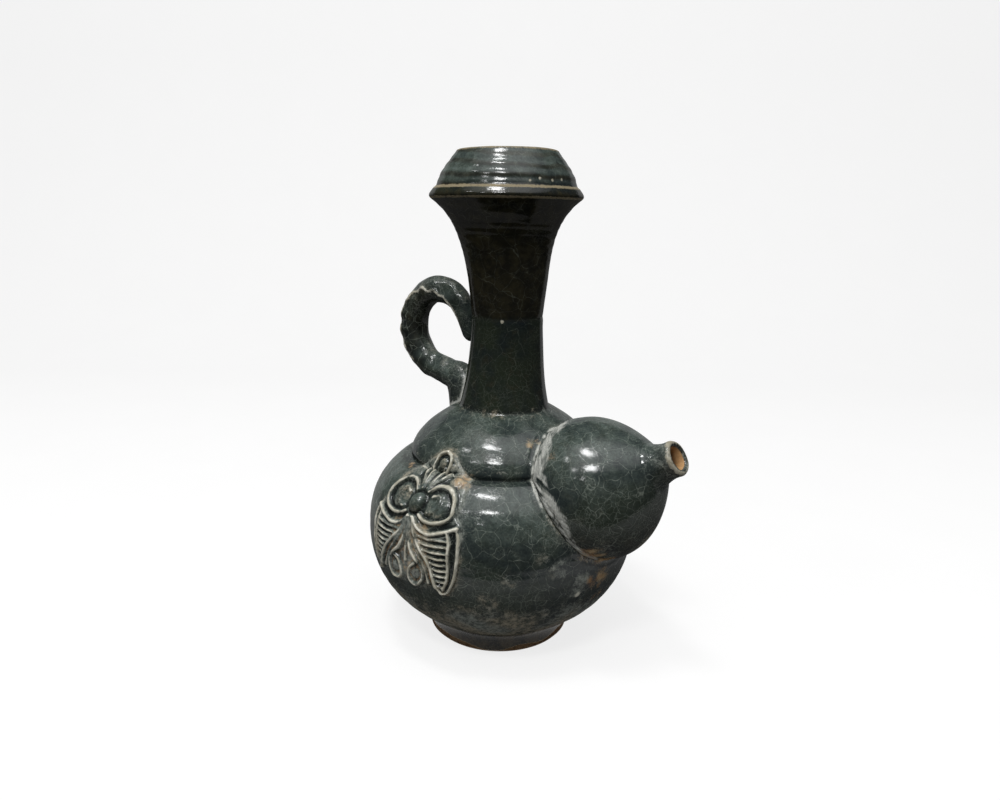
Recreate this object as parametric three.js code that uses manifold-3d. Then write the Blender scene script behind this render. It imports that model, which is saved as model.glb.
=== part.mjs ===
// A glazed stoneware spouted jug with a coiled handle, luted together from thrown,
// pressed and rolled pieces of clay. Millimetres, +Z up. The origin is the centre of
// the foot's underside, the spout points along +X and the handle along -X.
import * as THREE from "three";
import { mergeVertices } from "three/addons/utils/BufferGeometryUtils.js";
import Module from "manifold-3d";

const wasm = await Module();
wasm.setup();

// Facets
const turnSides = 36;
const spoutSides = 32;
const weldDistance = 0.001;

// Joints between pieces
const lutingGap = 0.3;

// Foot
const footHeight = 9.5;
const footRadius = 33;
const footTopRadius = 34;
const footWaist = 0.8;
const footBevel = 1.2;

// Body
const lowerBodyRise = 43;
const upperBodyRise = 32.9;
const bodyRadius = 62.2;
const bodyTopRadius = 45.4;
const bodyWall = 5;
const bodyFloor = 5;
const lowerFullnessShare = 2.09;
const upperFullnessShare = 2.43;
const bulbFullnessShare = 2;

// Shoulder
const shoulderRise = 22.9;
const shoulderRadius = 42.7;
const shoulderGrooveDepth = 1.4;
const shoulderGrooveRise = 2;
const shoulderWall = 5;

// Neck
const lowerNeckLength = 41.2;
const upperNeckLength = 50.1;
const neckFootRadius = 20.5;
const neckSeamRadius = 16.1;
const neckTopRadius = 32.8;
const neckWall = 4;

// Flange and mouth
const flangeThickness = 4.9;
const flangeOverhang = 0.7;
const flangeSeat = 6.3;
const flangeWidestRise = 1.8;
const flangeInset = 2.3;
const flangeArris = 0.7;
const mouthRise = 15.5;
const flangeLedge = 3.1;
const mouthWall = 4.5;
const rimRadius = 22.1;
const rimBevel = 0.9;

// Spout, measured along its own sloping axis from a root inside the body
const spoutSlope = THREE.MathUtils.degToRad(30.5);
const spoutRootDepth = 24.2;
const spoutRootRise = 19.5;
const bulbRootRadius = 23.8;
const bulbRadius = 31;
const bulbWidestAt = 16.5;
const bulbLength = 46.5;
const bulbNeckRadius = 9.4;
const bulbWall = 4;
const nozzleLength = 11;
const nozzleTipRadius = 7.4;
const nozzleBore = 4.8;
const nozzleLip = 0.8;
const spoutHoleRadius = 8;
const spoutHoleRise = 15.5;
const spoutHoleSides = 24;

// Handle coil
const handleReach = 56;
const handleRise = 30.2;
const handleHalfHeight = 19.5;
const coilRadius = 6.7;
const coilRootRadius = 7.2;
const coilTailRadius = 3.3;
const coilSides = 10;
const coilRingSpacing = 2.1;
const knobHeight = 1.8;
const knobPitch = 8.4;

// Sprig
const sprigHalfWidth = 25;
const sprigDrop = 9.5;
const sprigHeight = 52;
const padThickness = 1.1;
const reliefHeight = 2.5;
const lineWidth = 1.7;
const ribWidth = 1.1;
const ribCount = 6;
const bossRadius = 3.9;
const eyeRadius = 2;
const bossSides = 10;

// Heights that the stack gives
const bodyWidestHeight = footHeight + lowerBodyRise;
const bodyTopHeight = bodyWidestHeight + upperBodyRise;
const neckFootHeight = bodyTopHeight + shoulderRise;
const neckSeamHeight = neckFootHeight + lowerNeckLength;
const neckTopHeight = neckSeamHeight + upperNeckLength;
const mouthHeight = neckTopHeight + flangeThickness;
const rimHeight = mouthHeight + mouthRise;
const spoutRootHeight = bodyWidestHeight + spoutRootRise;
const spoutHoleHeight = bodyWidestHeight + spoutHoleRise;
const handleHeight = neckFootHeight + handleRise;
const sprigBottom = bodyWidestHeight - sprigDrop;

// Radii that follow what carries them
const flangeRadius = neckTopRadius + flangeOverhang;
const flangeBore = neckTopRadius - flangeSeat;
const mouthRadius = flangeRadius - flangeLedge;
const spoutRootReach = bodyRadius - spoutRootDepth;

// Where the bends of each outline pull it, as shares of its own reach and rise
const shoulderCrownShares = { reach: 0.87, rise: 0.55 };
const neckWaistShares = { reach: 0.1, rise: 0.38 };
const neckStraightShares = { reach: 0.17, rise: 0.51 };
const neckFlareShares = { reach: 0.21, rise: 0.81 };
const mouthSwellShares = { reach: 0.84, rise: 0.42 };
const mouthCloseShares = { reach: 0.46, rise: 0.6 };
const bulbSwellShare = 0.48;
const bulbCloseShares = { reach: 0.25, rise: 0.865 };
const nozzleWaistShares = { reach: 0.25, rise: 0.33 };

const at = (radius, height) => new THREE.Vector2(radius, height);

// A place between two others, by separate shares of the reach and of the rise.
function between(inner, outer, low, high, shares) {
  return at(THREE.MathUtils.lerp(inner, outer, shares.reach), THREE.MathUtils.lerp(low, high, shares.rise));
}

// Points on a bent line between two places, pulled towards one or two control places.
function bend(places, steps) {
  const curve = places.length === 3
    ? new THREE.QuadraticBezierCurve(...places)
    : new THREE.CubicBezierCurve(...places);
  return curve.getPoints(steps);
}

// A quarter of a full, slightly squared oval, from its widest point to a given end.
function swelling(widest, end, fullness, steps) {
  const endShare = end.x / widest.x;
  const riseShare = (1 - endShare ** fullness) ** (1 / fullness);
  const fullRise = (end.y - widest.y) / riseShare;
  const endAngle = Math.asin(riseShare ** (fullness / 2));
  const points = [];
  for (let i = 0; i <= steps; i++) {
    const angle = (endAngle * i) / steps;
    const radius = widest.x * Math.cos(angle) ** (2 / fullness);
    const rise = fullRise * Math.sin(angle) ** (2 / fullness);
    points.push(at(radius, widest.y + rise));
  }
  points[steps] = end.clone();
  return points;
}

// The same line moved sideways, away from the axis.
function offsetLine(points, distance) {
  return points.map((point, i) => {
    const before = points[Math.max(i - 1, 0)];
    const after = points[Math.min(i + 1, points.length - 1)];
    const along = after.clone().sub(before).normalize();
    return at(point.x + along.y * distance, point.y - along.x * distance);
  });
}

// A closed ring turned from an outer line and an inner line, both given bottom up.
function turnedRing(outer, inner) {
  return turned([...outer, ...inner.toReversed(), outer[0]]);
}

function turned(profile, sides = turnSides) {
  const geometry = new THREE.LatheGeometry(profile, sides);
  geometry.rotateX(Math.PI / 2);
  return geometry;
}

function solidOf(geometry) {
  const bare = geometry.clone();
  bare.deleteAttribute("normal");
  bare.deleteAttribute("uv");
  const merged = mergeVertices(bare, weldDistance);
  return new wasm.Manifold(new wasm.Mesh({
    numProp: 3,
    vertProperties: merged.attributes.position.array,
    triVerts: Uint32Array.from(merged.index.array),
  }));
}

function geometryOf(solid) {
  const { vertProperties, triVerts } = solid.getMesh();
  const geometry = new THREE.BufferGeometry();
  geometry.setAttribute("position", new THREE.BufferAttribute(vertProperties, 3));
  geometry.setIndex(new THREE.BufferAttribute(triVerts, 1));
  return geometry;
}

// Outer lines of the turned pieces, bottom up

function footLine() {
  const waistPlace = at(footRadius - footWaist, footHeight / 2);
  const wall = bend([at(footRadius, footBevel), waistPlace, at(footTopRadius, footHeight)], 4);
  return [at(footRadius - footBevel, 0), ...wall];
}

function lowerBodyLine() {
  const widest = at(bodyRadius, bodyWidestHeight);
  return swelling(widest, at(footTopRadius, footHeight), lowerFullnessShare, 8).reverse();
}

function upperBodyLine() {
  const widest = at(bodyRadius, bodyWidestHeight);
  return swelling(widest, at(bodyTopRadius, bodyTopHeight), upperFullnessShare, 7);
}

function shoulderLine() {
  const start = at(shoulderRadius, bodyTopHeight + shoulderGrooveRise);
  const crown = between(neckFootRadius, shoulderRadius, start.y, neckFootHeight, shoulderCrownShares);
  return bend([start, crown, at(neckFootRadius, neckFootHeight)], 7);
}

function lowerNeckLine() {
  const seam = at(neckSeamRadius, neckSeamHeight);
  const waist = between(neckSeamRadius, neckFootRadius, neckFootHeight, neckSeamHeight, neckWaistShares);
  return bend([at(neckFootRadius, neckFootHeight), waist, seam], 5);
}

function upperNeckLine() {
  const pull = (shares) => between(neckSeamRadius, neckTopRadius, neckSeamHeight, neckTopHeight, shares);
  return bend([
    at(neckSeamRadius, neckSeamHeight),
    pull(neckStraightShares),
    pull(neckFlareShares),
    at(neckTopRadius, neckTopHeight),
  ], 6);
}

function mouthLine() {
  const pull = (shares) => between(rimRadius, mouthRadius, mouthHeight, rimHeight, shares);
  return bend([
    at(mouthRadius, mouthHeight),
    pull(mouthSwellShares),
    pull(mouthCloseShares),
    at(rimRadius, rimHeight - rimBevel),
  ], 5);
}

// The whole jug's outside as one solid without its hollow, the seat of what is luted on.
function seatLine(distance) {
  const line = [
    ...lowerBodyLine(),
    ...upperBodyLine().slice(1),
    ...shoulderLine(),
    ...lowerNeckLine().slice(1),
    ...upperNeckLine().slice(1),
  ];
  return offsetLine(line, distance);
}

function seatSolid() {
  const line = seatLine(lutingGap);
  return solidOf(turned([at(0, line[0].y), ...line, at(0, line.at(-1).y)]));
}

// Turned pieces

function foot() {
  return turned([at(0, 0), ...footLine(), at(0, footHeight)]);
}

function lowerBody() {
  const floorHeight = footHeight + bodyFloor;
  const hollow = swelling(at(bodyRadius - bodyWall, bodyWidestHeight),
    at(footTopRadius, floorHeight), lowerFullnessShare, 6);
  return turned([at(0, footHeight), ...lowerBodyLine(), ...hollow, at(0, floorHeight)]);
}

function upperBody() {
  const hollow = swelling(at(bodyRadius - bodyWall, bodyWidestHeight),
    at(shoulderRadius - shoulderWall, bodyTopHeight), upperFullnessShare, 5);
  const shell = solidOf(turnedRing(upperBodyLine(), hollow));
  const drill = new THREE.CylinderGeometry(spoutHoleRadius, spoutHoleRadius, bodyRadius, spoutHoleSides);
  drill.rotateZ(Math.PI / 2);
  drill.translate(bodyRadius, 0, spoutHoleHeight);
  return geometryOf(shell.subtract(solidOf(drill)));
}

function shoulder() {
  const grooveRadius = shoulderRadius - shoulderGrooveDepth;
  const outer = [at(grooveRadius, bodyTopHeight), ...shoulderLine()];
  const hollow = bend([
    at(shoulderRadius - shoulderWall, bodyTopHeight),
    between(neckFootRadius - shoulderWall, shoulderRadius - shoulderWall, bodyTopHeight, neckFootHeight,
      shoulderCrownShares),
    at(neckFootRadius - neckWall, neckFootHeight),
  ], 5);
  return turnedRing(outer, hollow);
}

function lowerNeck() {
  const outer = lowerNeckLine();
  const bore = outer.map((point) => at(point.x - neckWall, point.y));
  return turnedRing(outer, bore);
}

function upperNeck() {
  const outer = upperNeckLine();
  const bore = outer.map((point) => at(point.x - neckWall, point.y));
  return turnedRing(outer, bore);
}

function neckFlange() {
  const edge = [
    at(neckTopRadius, neckTopHeight),
    at(flangeRadius, neckTopHeight + flangeWidestRise),
    at(flangeRadius - flangeInset + flangeArris, mouthHeight - flangeArris),
    at(flangeRadius - flangeInset, mouthHeight),
  ];
  return turnedRing(edge, [at(flangeBore, neckTopHeight), at(flangeBore, mouthHeight)]);
}

function mouthCup() {
  const outer = [...mouthLine(), at(rimRadius - rimBevel, rimHeight)];
  const inner = [
    ...mouthLine().map((point) => at(point.x - mouthWall, point.y)),
    at(rimRadius - mouthWall + rimBevel, rimHeight),
  ];
  return turnedRing(outer, inner);
}

// Spout

// Lays a piece that was turned about an upright axis along the spout's sloping axis.
function laidOnSpout(geometry) {
  geometry.rotateY(Math.PI / 2 - spoutSlope);
  geometry.translate(spoutRootReach, 0, spoutRootHeight);
  return geometry;
}

function bulbLine(wall, neckRadius, steps) {
  const widest = at(bulbRadius - wall, bulbWidestAt);
  const rear = swelling(widest, at(bulbRootRadius - wall, 0), bulbFullnessShare, 3).reverse();
  const front = bend([
    widest,
    at(widest.x, THREE.MathUtils.lerp(bulbWidestAt, bulbLength, bulbSwellShare)),
    between(neckRadius, widest.x, bulbWidestAt, bulbLength, bulbCloseShares),
    at(neckRadius, bulbLength),
  ], steps);
  return [...rear.slice(0, -1), ...front];
}

function spoutBulb() {
  const outer = bulbLine(0, bulbNeckRadius, 9);
  const hollow = bulbLine(bulbWall, nozzleBore, 7);
  const profile = [...outer, ...hollow.toReversed(), outer[0]];
  const bulb = solidOf(laidOnSpout(turned(profile, spoutSides)));
  return geometryOf(bulb.subtract(seatSolid()));
}

function spoutNozzle() {
  const rootAt = bulbLength + lutingGap;
  const tipAt = rootAt + nozzleLength;
  const outer = [
    at(bulbNeckRadius, rootAt),
    between(nozzleTipRadius, bulbNeckRadius, rootAt, tipAt, nozzleWaistShares),
    at(nozzleTipRadius, tipAt - nozzleLip),
    at(nozzleTipRadius - nozzleLip, tipAt),
  ];
  const bore = [
    at(nozzleBore, rootAt),
    at(nozzleBore, tipAt - nozzleLip),
    at(nozzleBore + nozzleLip, tipAt),
  ];
  return laidOnSpout(turned([...outer, ...bore.toReversed(), outer[0]], spoutSides));
}

// Handle

// The loop's middle as a share of its reach, and how far along the coil its root swells,
// its tail thins and its knobs start and stop, as shares of the coil's length.
const loopMiddleShare = 0.66;
const rootEndShare = 0.25;
const tailStartShare = 0.72;
const knobStartShares = [0.2, 0.3];
const knobStopShares = [0.7, 0.8];

// The coil's centre line, as shares of the loop's reach and height from its middle.
const coilShares = [
  [0.42, -2.1],
  [0.43, -1.6],
  [0.485, -1.15],
  [0.63, -0.97],
  [0.82, -0.81],
  [0.95, -0.43],
  [1, 0],
  [0.96, 0.53],
  [0.82, 0.92],
  [0.64, 1],
  [0.5, 0.83],
  [0.42, 0.51],
  [0.38, 0.2],
  [0.35, -0.1],
];

function handleCoil() {
  const centreLine = new THREE.CatmullRomCurve3(coilShares.map(([reach, rise]) =>
    new THREE.Vector3(-reach * handleReach, 0, handleHeight + rise * handleHalfHeight)));
  const steps = Math.round(centreLine.getLength() / coilRingSpacing);
  const section = new THREE.Shape().absellipse(0, 0, coilRadius, coilRadius, 0, 2 * Math.PI);
  const geometry = new THREE.ExtrudeGeometry(section, {
    steps,
    curveSegments: coilSides / 2,
    extrudePath: centreLine,
  });
  pinchCoil(geometry, centreLine, steps);
  return geometryOf(solidOf(geometry).subtract(seatSolid()));
}

// Swells the coil at its root, thins it towards its tail and raises the pinched knobs
// along the outside of the loop.
function pinchCoil(geometry, centreLine, steps) {
  const middle = new THREE.Vector3(-handleReach * loopMiddleShare, 0, handleHeight);
  const centres = centreLine.getSpacedPoints(steps);
  const places = geometry.attributes.position;
  const point = new THREE.Vector3();
  for (let i = 0; i < places.count; i++) {
    point.fromBufferAttribute(places, i);
    const distances = centres.map((centre) => centre.distanceToSquared(point));
    const ring = distances.indexOf(Math.min(...distances));
    const centre = centres[ring];
    const share = ring / steps;
    const rootShare = 1 - THREE.MathUtils.smoothstep(share, 0, rootEndShare);
    const tailShare = THREE.MathUtils.smoothstep(share, tailStartShare, 1);
    const away = point.clone().sub(centre).normalize();
    const outward = centre.clone().sub(middle).normalize();
    const onLoop = THREE.MathUtils.smoothstep(share, ...knobStartShares)
      - THREE.MathUtils.smoothstep(share, ...knobStopShares);
    const wave = (1 - Math.cos((2 * Math.PI * ring * coilRingSpacing) / knobPitch)) / 2;
    const knob = knobHeight * onLoop * wave * Math.max(0, away.dot(outward));
    const radius = coilRadius + (coilRootRadius - coilRadius) * rootShare
      - (coilRadius - coilTailRadius) * tailShare + knob;
    point.copy(centre).addScaledVector(away, radius);
    places.setXYZ(i, point.x, point.y, point.z);
  }
}

// Moulded sprig: its lines are stamped straight through a skin that follows the body

function skin(inside, outside) {
  return solidOf(turnedRing(seatLine(lutingGap + outside), seatLine(lutingGap + inside)));
}

// A place on the sprig from shares of its half width and height.
function place([across, up]) {
  return at(across * sprigHalfWidth, sprigBottom + up * sprigHeight);
}

function stamp(outline) {
  const geometry = new THREE.ExtrudeGeometry(new THREE.Shape(outline), {
    depth: bodyRadius + 2 * reliefHeight,
    bevelEnabled: false,
  });
  geometry.rotateX(Math.PI / 2);
  return solidOf(geometry);
}

// The outline of a raised line of even width along a curve.
function ribbon(places, width, steps) {
  const curve = new THREE.SplineCurve(places);
  const left = [];
  const right = [];
  for (let i = 0; i <= steps; i++) {
    const point = curve.getPoint(i / steps);
    const along = curve.getTangent(i / steps);
    const side = at(-along.y, along.x).multiplyScalar(width / 2);
    left.push(point.clone().add(side));
    right.unshift(point.clone().sub(side));
  }
  return [...left, ...right];
}

function disc(centre, radius) {
  const points = [];
  for (let i = 0; i < bossSides; i++) {
    const angle = (2 * Math.PI * i) / bossSides;
    points.push(at(centre.x + radius * Math.cos(angle), centre.y + radius * Math.sin(angle)));
  }
  return points;
}

// Half outlines and lines of the sprig, as shares of its half width and height.
const padShares = [
  [0, 1],
  [0.15, 0.96],
  [0.26, 0.86],
  [0.52, 0.8],
  [0.78, 0.64],
  [0.95, 0.52],
  [1, 0.36],
  [0.98, 0.16],
  [0.74, 0],
  [0.6, 0.1],
  [0.4, 0.08],
  [0.2, 0.06],
  [0, 0.12],
];
const headShares = [[0.02, 0.72], [0.13, 0.84], [0.15, 0.93], [0, 0.98]];
const petalShares = [
  [0.1, 0.72], [0.34, 0.76], [0.62, 0.7], [0.62, 0.56], [0.4, 0.54], [0.3, 0.62], [0.42, 0.66],
];
const leafTopShares = [[0.1, 0.5], [0.4, 0.46], [0.8, 0.51], [0.92, 0.38], [0.9, 0.16], [0.74, 0.03]];
const leafStemShares = [[0.06, 0.52], [0.32, 0.34], [0.5, 0.2], [0.6, 0.05]];
const curlShares = [
  [0.04, 0.5], [0.1, 0.36], [0.26, 0.26], [0.36, 0.17], [0.24, 0.1], [0.12, 0.14], [0.16, 0.2],
];
const eyeShares = [0, 0.91];
const bossShares = [0, 0.62];
const ribTopShares = [0.28, 0.44];
const ribBottomShares = [0.66, 0.12];
const ribEndShare = 0.88;

const mirrored = (places) => places.map((point) => at(-point.x, point.y));

function sprigLines() {
  const lines = [];
  const both = (shares, width, steps) => {
    const places = shares.map(place);
    lines.push(ribbon(places, width, steps), ribbon(mirrored(places), width, steps));
  };
  both(headShares, lineWidth, 5);
  both(petalShares, lineWidth, 10);
  both(leafTopShares, lineWidth, 7);
  both(leafStemShares, lineWidth, 3);
  both(curlShares, lineWidth, 9);
  for (let i = 0; i < ribCount; i++) {
    const [inner, up] = ribTopShares.map((top, axis) =>
      THREE.MathUtils.lerp(top, ribBottomShares[axis], i / (ribCount - 1)));
    both([[inner, up], [ribEndShare, up]], ribWidth, 1);
  }
  lines.push(disc(place(eyeShares), eyeRadius), disc(place(bossShares), bossRadius));
  return lines;
}

function sprig() {
  const half = padShares.map(place);
  const padOutline = [...half, ...mirrored(half.slice(1, -1)).reverse()];
  const pad = skin(0, padThickness).intersect(stamp(padOutline));
  const relief = wasm.Manifold.union(sprigLines().map(stamp))
    .intersect(skin(padThickness / 2, reliefHeight));
  return geometryOf(pad.add(relief));
}

// Finishes

const finish = (color, roughness) => new THREE.MeshStandardMaterial({ color, roughness, metalness: 0 });
const darkGlaze = () => finish("#1c231f", 0.2);
const oliveGlaze = () => finish("#2a281d", 0.22);
const wornGlaze = () => finish("#5d5f52", 0.4);
const bareClay = () => finish("#6b4a33", 0.75);

function piece(name, geometry, material) {
  const mesh = new THREE.Mesh(geometry, material);
  mesh.name = name;
  return mesh;
}

const body = new THREE.Group();
body.add(
  piece("foot", foot(), bareClay()),
  piece("lower_body", lowerBody(), darkGlaze()),
  piece("upper_body", upperBody(), darkGlaze()),
  piece("shoulder", shoulder(), darkGlaze()),
);

const neck = new THREE.Group();
neck.add(
  piece("lower_neck", lowerNeck(), darkGlaze()),
  piece("upper_neck", upperNeck(), oliveGlaze()),
  piece("neck_flange", neckFlange(), wornGlaze()),
  piece("mouth_cup", mouthCup(), darkGlaze()),
);

const spout = new THREE.Group();
spout.add(
  piece("spout_bulb", spoutBulb(), darkGlaze()),
  piece("spout_nozzle", spoutNozzle(), wornGlaze()),
);

const frontSprig = piece("front_sprig", sprig(), wornGlaze());
const backSprig = piece("back_sprig", sprig(), wornGlaze());
backSprig.rotation.z = Math.PI;

const jug = new THREE.Group();
jug.add(body, neck, spout, piece("handle", handleCoil(), darkGlaze()), frontSprig, backSprig);

export default jug;
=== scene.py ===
import math

import bpy
import numpy as np
from mathutils import Matrix, Vector


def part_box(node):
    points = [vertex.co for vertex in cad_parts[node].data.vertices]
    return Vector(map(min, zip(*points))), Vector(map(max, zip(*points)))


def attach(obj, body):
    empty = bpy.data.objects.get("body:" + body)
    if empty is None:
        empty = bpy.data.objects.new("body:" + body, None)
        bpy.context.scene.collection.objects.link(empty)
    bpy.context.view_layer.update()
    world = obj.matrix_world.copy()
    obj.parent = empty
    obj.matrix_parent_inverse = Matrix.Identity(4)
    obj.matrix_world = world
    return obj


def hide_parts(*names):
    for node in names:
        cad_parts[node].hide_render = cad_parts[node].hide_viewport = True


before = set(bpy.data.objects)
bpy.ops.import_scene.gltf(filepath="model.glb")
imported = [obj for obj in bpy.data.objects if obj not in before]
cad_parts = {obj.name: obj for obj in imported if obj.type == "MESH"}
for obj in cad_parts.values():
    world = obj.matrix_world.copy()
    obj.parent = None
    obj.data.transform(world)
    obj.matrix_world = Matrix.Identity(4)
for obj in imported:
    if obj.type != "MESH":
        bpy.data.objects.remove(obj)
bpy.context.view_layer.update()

MM = 0.001
FULL_TURN = 2 * math.pi


# Sizes that the frame gives


def top_and_reach(node):
    """A node's highest height and its reach along X."""
    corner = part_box(node)[1]
    return corner.z / MM, corner.x / MM


foot_top, foot_top_radius = top_and_reach("foot")
widest_height, body_radius = top_and_reach("lower_body")
groove_height, _ = top_and_reach("upper_body")
neck_foot_height, shoulder_radius = top_and_reach("shoulder")
seam_height, neck_foot_radius = top_and_reach("lower_neck")
flange_bottom, neck_top_radius = top_and_reach("upper_neck")
flange_top, flange_radius = top_and_reach("neck_flange")
rim_height, mouth_radius = top_and_reach("mouth_cup")

# Sizes that the frame's boxes don't show
foot_radius = 33
foot_waist = 0.8
foot_bevel = 1.2
floor_radius = 6
body_top_radius = 45.4
groove_depth = 0.7
groove_rise = 2
seam_depth = 0.12
neck_seam_radius = 16.1
rim_radius = 22.1
rim_bevel = 0.9
flange_widest_rise = 1.9
flange_inset = 2.3
flange_arris = 0.6
flange_hollow_inset = 6.3
body_wall = 5
neck_wall = 4
mouth_wall = 4.5
lower_fullness = 2.09
upper_fullness = 2.43
bulb_fullness = 2.0

# Mesh fineness
line_step = 0.6
inner_step = 2.4
line_softness = 0.65
crease_softness = 2
crease_reach = 3.5
turn_steps = 384
spout_steps = 400
bulb_step = 0.3
coil_step = 0.4
coil_sides = 56
sprig_step = 0.29
sprig_softness = 0.27
sprig_spread = 1.15


# Lines and curves


def mix(a, b, share):
    return a + (b - a) * share


def smooth(edge0, edge1, value):
    """A soft step from 0 at one edge to 1 at the other, which may lie lower."""
    share = np.clip((value - edge0) / (edge1 - edge0), 0, 1)
    return share * share * (3 - 2 * share)


def hump(value, centre, width):
    return np.exp(-(((value - centre) / width) ** 2))


def bezier(places, steps=60):
    t = np.linspace(0, 1, steps)[:, None]
    points = [np.array(place, float) for place in places]
    while len(points) > 1:
        points = [mix(a, b, t) for a, b in zip(points, points[1:])]
    return points[0]


def between(inner, outer, low, high, reach_share, rise_share):
    return (mix(inner, outer, reach_share), mix(low, high, rise_share))


def swelling(widest, end, fullness, steps=80):
    """A quarter of a slightly squared oval, from its widest point to a given end."""
    end_share = end[0] / widest[0]
    rise_share = (1 - end_share**fullness) ** (1 / fullness)
    full_rise = (end[1] - widest[1]) / rise_share
    angle = np.linspace(0, math.asin(rise_share ** (fullness / 2)), steps)
    radius = widest[0] * np.cos(angle) ** (2 / fullness)
    rise = full_rise * np.sin(angle) ** (2 / fullness)
    return np.c_[radius, widest[1] + rise]


def spline(points, step):
    """Evenly spaced points on a rounded line through the given ones."""
    points = np.array(points, float)
    ends = np.vstack([2 * points[0] - points[1], points, 2 * points[-1] - points[-2]])
    t = np.linspace(0, 1, 40, endpoint=False)[:, None]
    parts = []
    for p0, p1, p2, p3 in zip(ends, ends[1:], ends[2:], ends[3:]):
        curve = 2 * p1 + (p2 - p0) * t + (2 * p0 - 5 * p1 + 4 * p2 - p3) * t**2
        parts.append((curve + (3 * p1 - p0 - 3 * p2 + p3) * t**3) / 2)
    return respaced(np.vstack([*parts, points[-1:]]), step)


def lengths_along(line):
    return np.r_[0, np.cumsum(np.linalg.norm(np.diff(line, axis=0), axis=1))]


def respaced(line, step):
    lengths = lengths_along(line)
    keep = np.r_[True, np.diff(lengths) > 1e-6]
    line, lengths = line[keep], lengths[keep]
    steps = max(2, int(round(lengths[-1] / step)) + 1)
    wanted = np.linspace(0, lengths[-1], steps)
    return np.stack([np.interp(wanted, lengths, line[:, i]) for i in range(line.shape[1])], 1)


def blurred(values, width, axis=0):
    """Values smoothed along an axis by a bell curve; width is its spread in steps."""
    reach = int(3 * width) + 1
    weights = np.exp(-0.5 * (np.arange(-reach, reach + 1) / width) ** 2)
    weights /= weights.sum()
    padding = [(0, 0)] * values.ndim
    padding[axis] = (reach, reach)
    padded = np.pad(values, padding, mode="edge")
    count = values.shape[axis]
    return sum(w * padded.take(range(i, i + count), axis) for i, w in enumerate(weights))


# The jug's outer line, bottom up, as one softened line that the turned pieces share


def outer_line():
    widest = (body_radius, widest_height)
    foot_side = bezier([
        (foot_radius, foot_bevel),
        (foot_radius - foot_waist, foot_top / 2),
        (foot_top_radius, foot_top),
    ])
    lower = swelling(widest, (foot_top_radius, foot_top), lower_fullness)[::-1]
    upper = swelling(widest, (body_top_radius, groove_height), upper_fullness)
    groove = [(shoulder_radius - groove_depth, groove_height + rise) for rise in (0.1, 0.5)]
    start = (shoulder_radius, groove_height + groove_rise)
    crown = between(neck_foot_radius, shoulder_radius, start[1], neck_foot_height, 0.87, 0.55)
    shoulder = bezier([start, crown, (neck_foot_radius, neck_foot_height)])
    waist = between(neck_seam_radius, neck_foot_radius, neck_foot_height, seam_height, 0.1, 0.38)
    lower_neck = bezier([(neck_foot_radius, neck_foot_height), waist, (neck_seam_radius, seam_height)])
    neck = (neck_seam_radius, neck_top_radius, seam_height, flange_bottom)
    upper_neck = bezier([between(*neck, *shares) for shares in ((0, 0), (0.17, 0.51), (0.21, 0.81), (1, 1))])
    flange = [(flange_radius - inset, height) for inset, height in (
        (flange_arris, flange_bottom + 0.1),
        (0, flange_bottom + flange_arris),
        (0, flange_bottom + flange_widest_rise),
        (0.75 * flange_inset, flange_top - 1.4 * flange_arris),
        (0.8 * flange_inset, flange_top - flange_arris / 2),
        (flange_inset, flange_top - 0.1),
    )]
    mouth = (rim_radius, mouth_radius, flange_top, rim_height)
    cup = bezier([
        (mouth_radius, flange_top),
        between(*mouth, 0.84, 0.42),
        between(*mouth, 0.46, 0.6),
        (rim_radius, rim_height - rim_bevel),
    ])
    parts = [foot_side, lower, upper, groove, shoulder, lower_neck, upper_neck, flange, cup]
    fine_step = line_step / 4
    fine = respaced(np.vstack(parts), fine_step)
    soft = blurred(fine, line_softness / fine_step)
    softer = blurred(fine, crease_softness / fine_step)
    soft = mix(soft, softer, hump(soft[:, 1:], foot_top, crease_reach))
    soft[0], soft[-1] = fine[0], fine[-1]
    return respaced(soft, line_step)


jug_line = outer_line()


def jug_radius(height):
    return np.interp(height, jug_line[:, 1], jug_line[:, 0])


def outer_part(low, high):
    """The stretch of the jug's outer line between two heights, ends included."""
    inside = jug_line[(jug_line[:, 1] > low + line_step / 4) & (jug_line[:, 1] < high - line_step / 4)]
    return np.vstack([(jug_radius(low), low), inside, (jug_radius(high), high)])


# The thrown axis wanders a little to one side, as it does in the photograph
lean_heights = [0, 30, 52, 90, 108, 138, 166, 186, 199, 204, 220]
lean_reaches = [-0.7, -0.4, -0.15, 0.1, 0.4, 1.05, 1.05, 0.2, -0.25, -0.15, 0]
view_turn = math.radians(37.5)


def axis_lean(height):
    """How far the axis stands off the upright line, as a step along X and Y."""
    reach = np.interp(height, lean_heights, lean_reaches)
    return reach * math.cos(view_turn), reach * math.sin(view_turn)


def round_axis(radius, angle, height):
    """Points round the leaning axis."""
    radius, angle, height = np.broadcast_arrays(radius, angle, height)
    lean_x, lean_y = axis_lean(height)
    return np.stack([radius * np.cos(angle) + lean_x, radius * np.sin(angle) + lean_y, height], -1)


def full_turn(steps):
    return np.linspace(0, FULL_TURN, steps, endpoint=False)


def line_normals(line):
    along = np.gradient(line, axis=0)
    out = np.c_[along[:, 1], -along[:, 0]]
    return out / np.linalg.norm(out, axis=1)[:, None]


# Uneven hand work: slow waves, throwing rings and fine noise, the same on every run

noise_cells = 32


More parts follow.
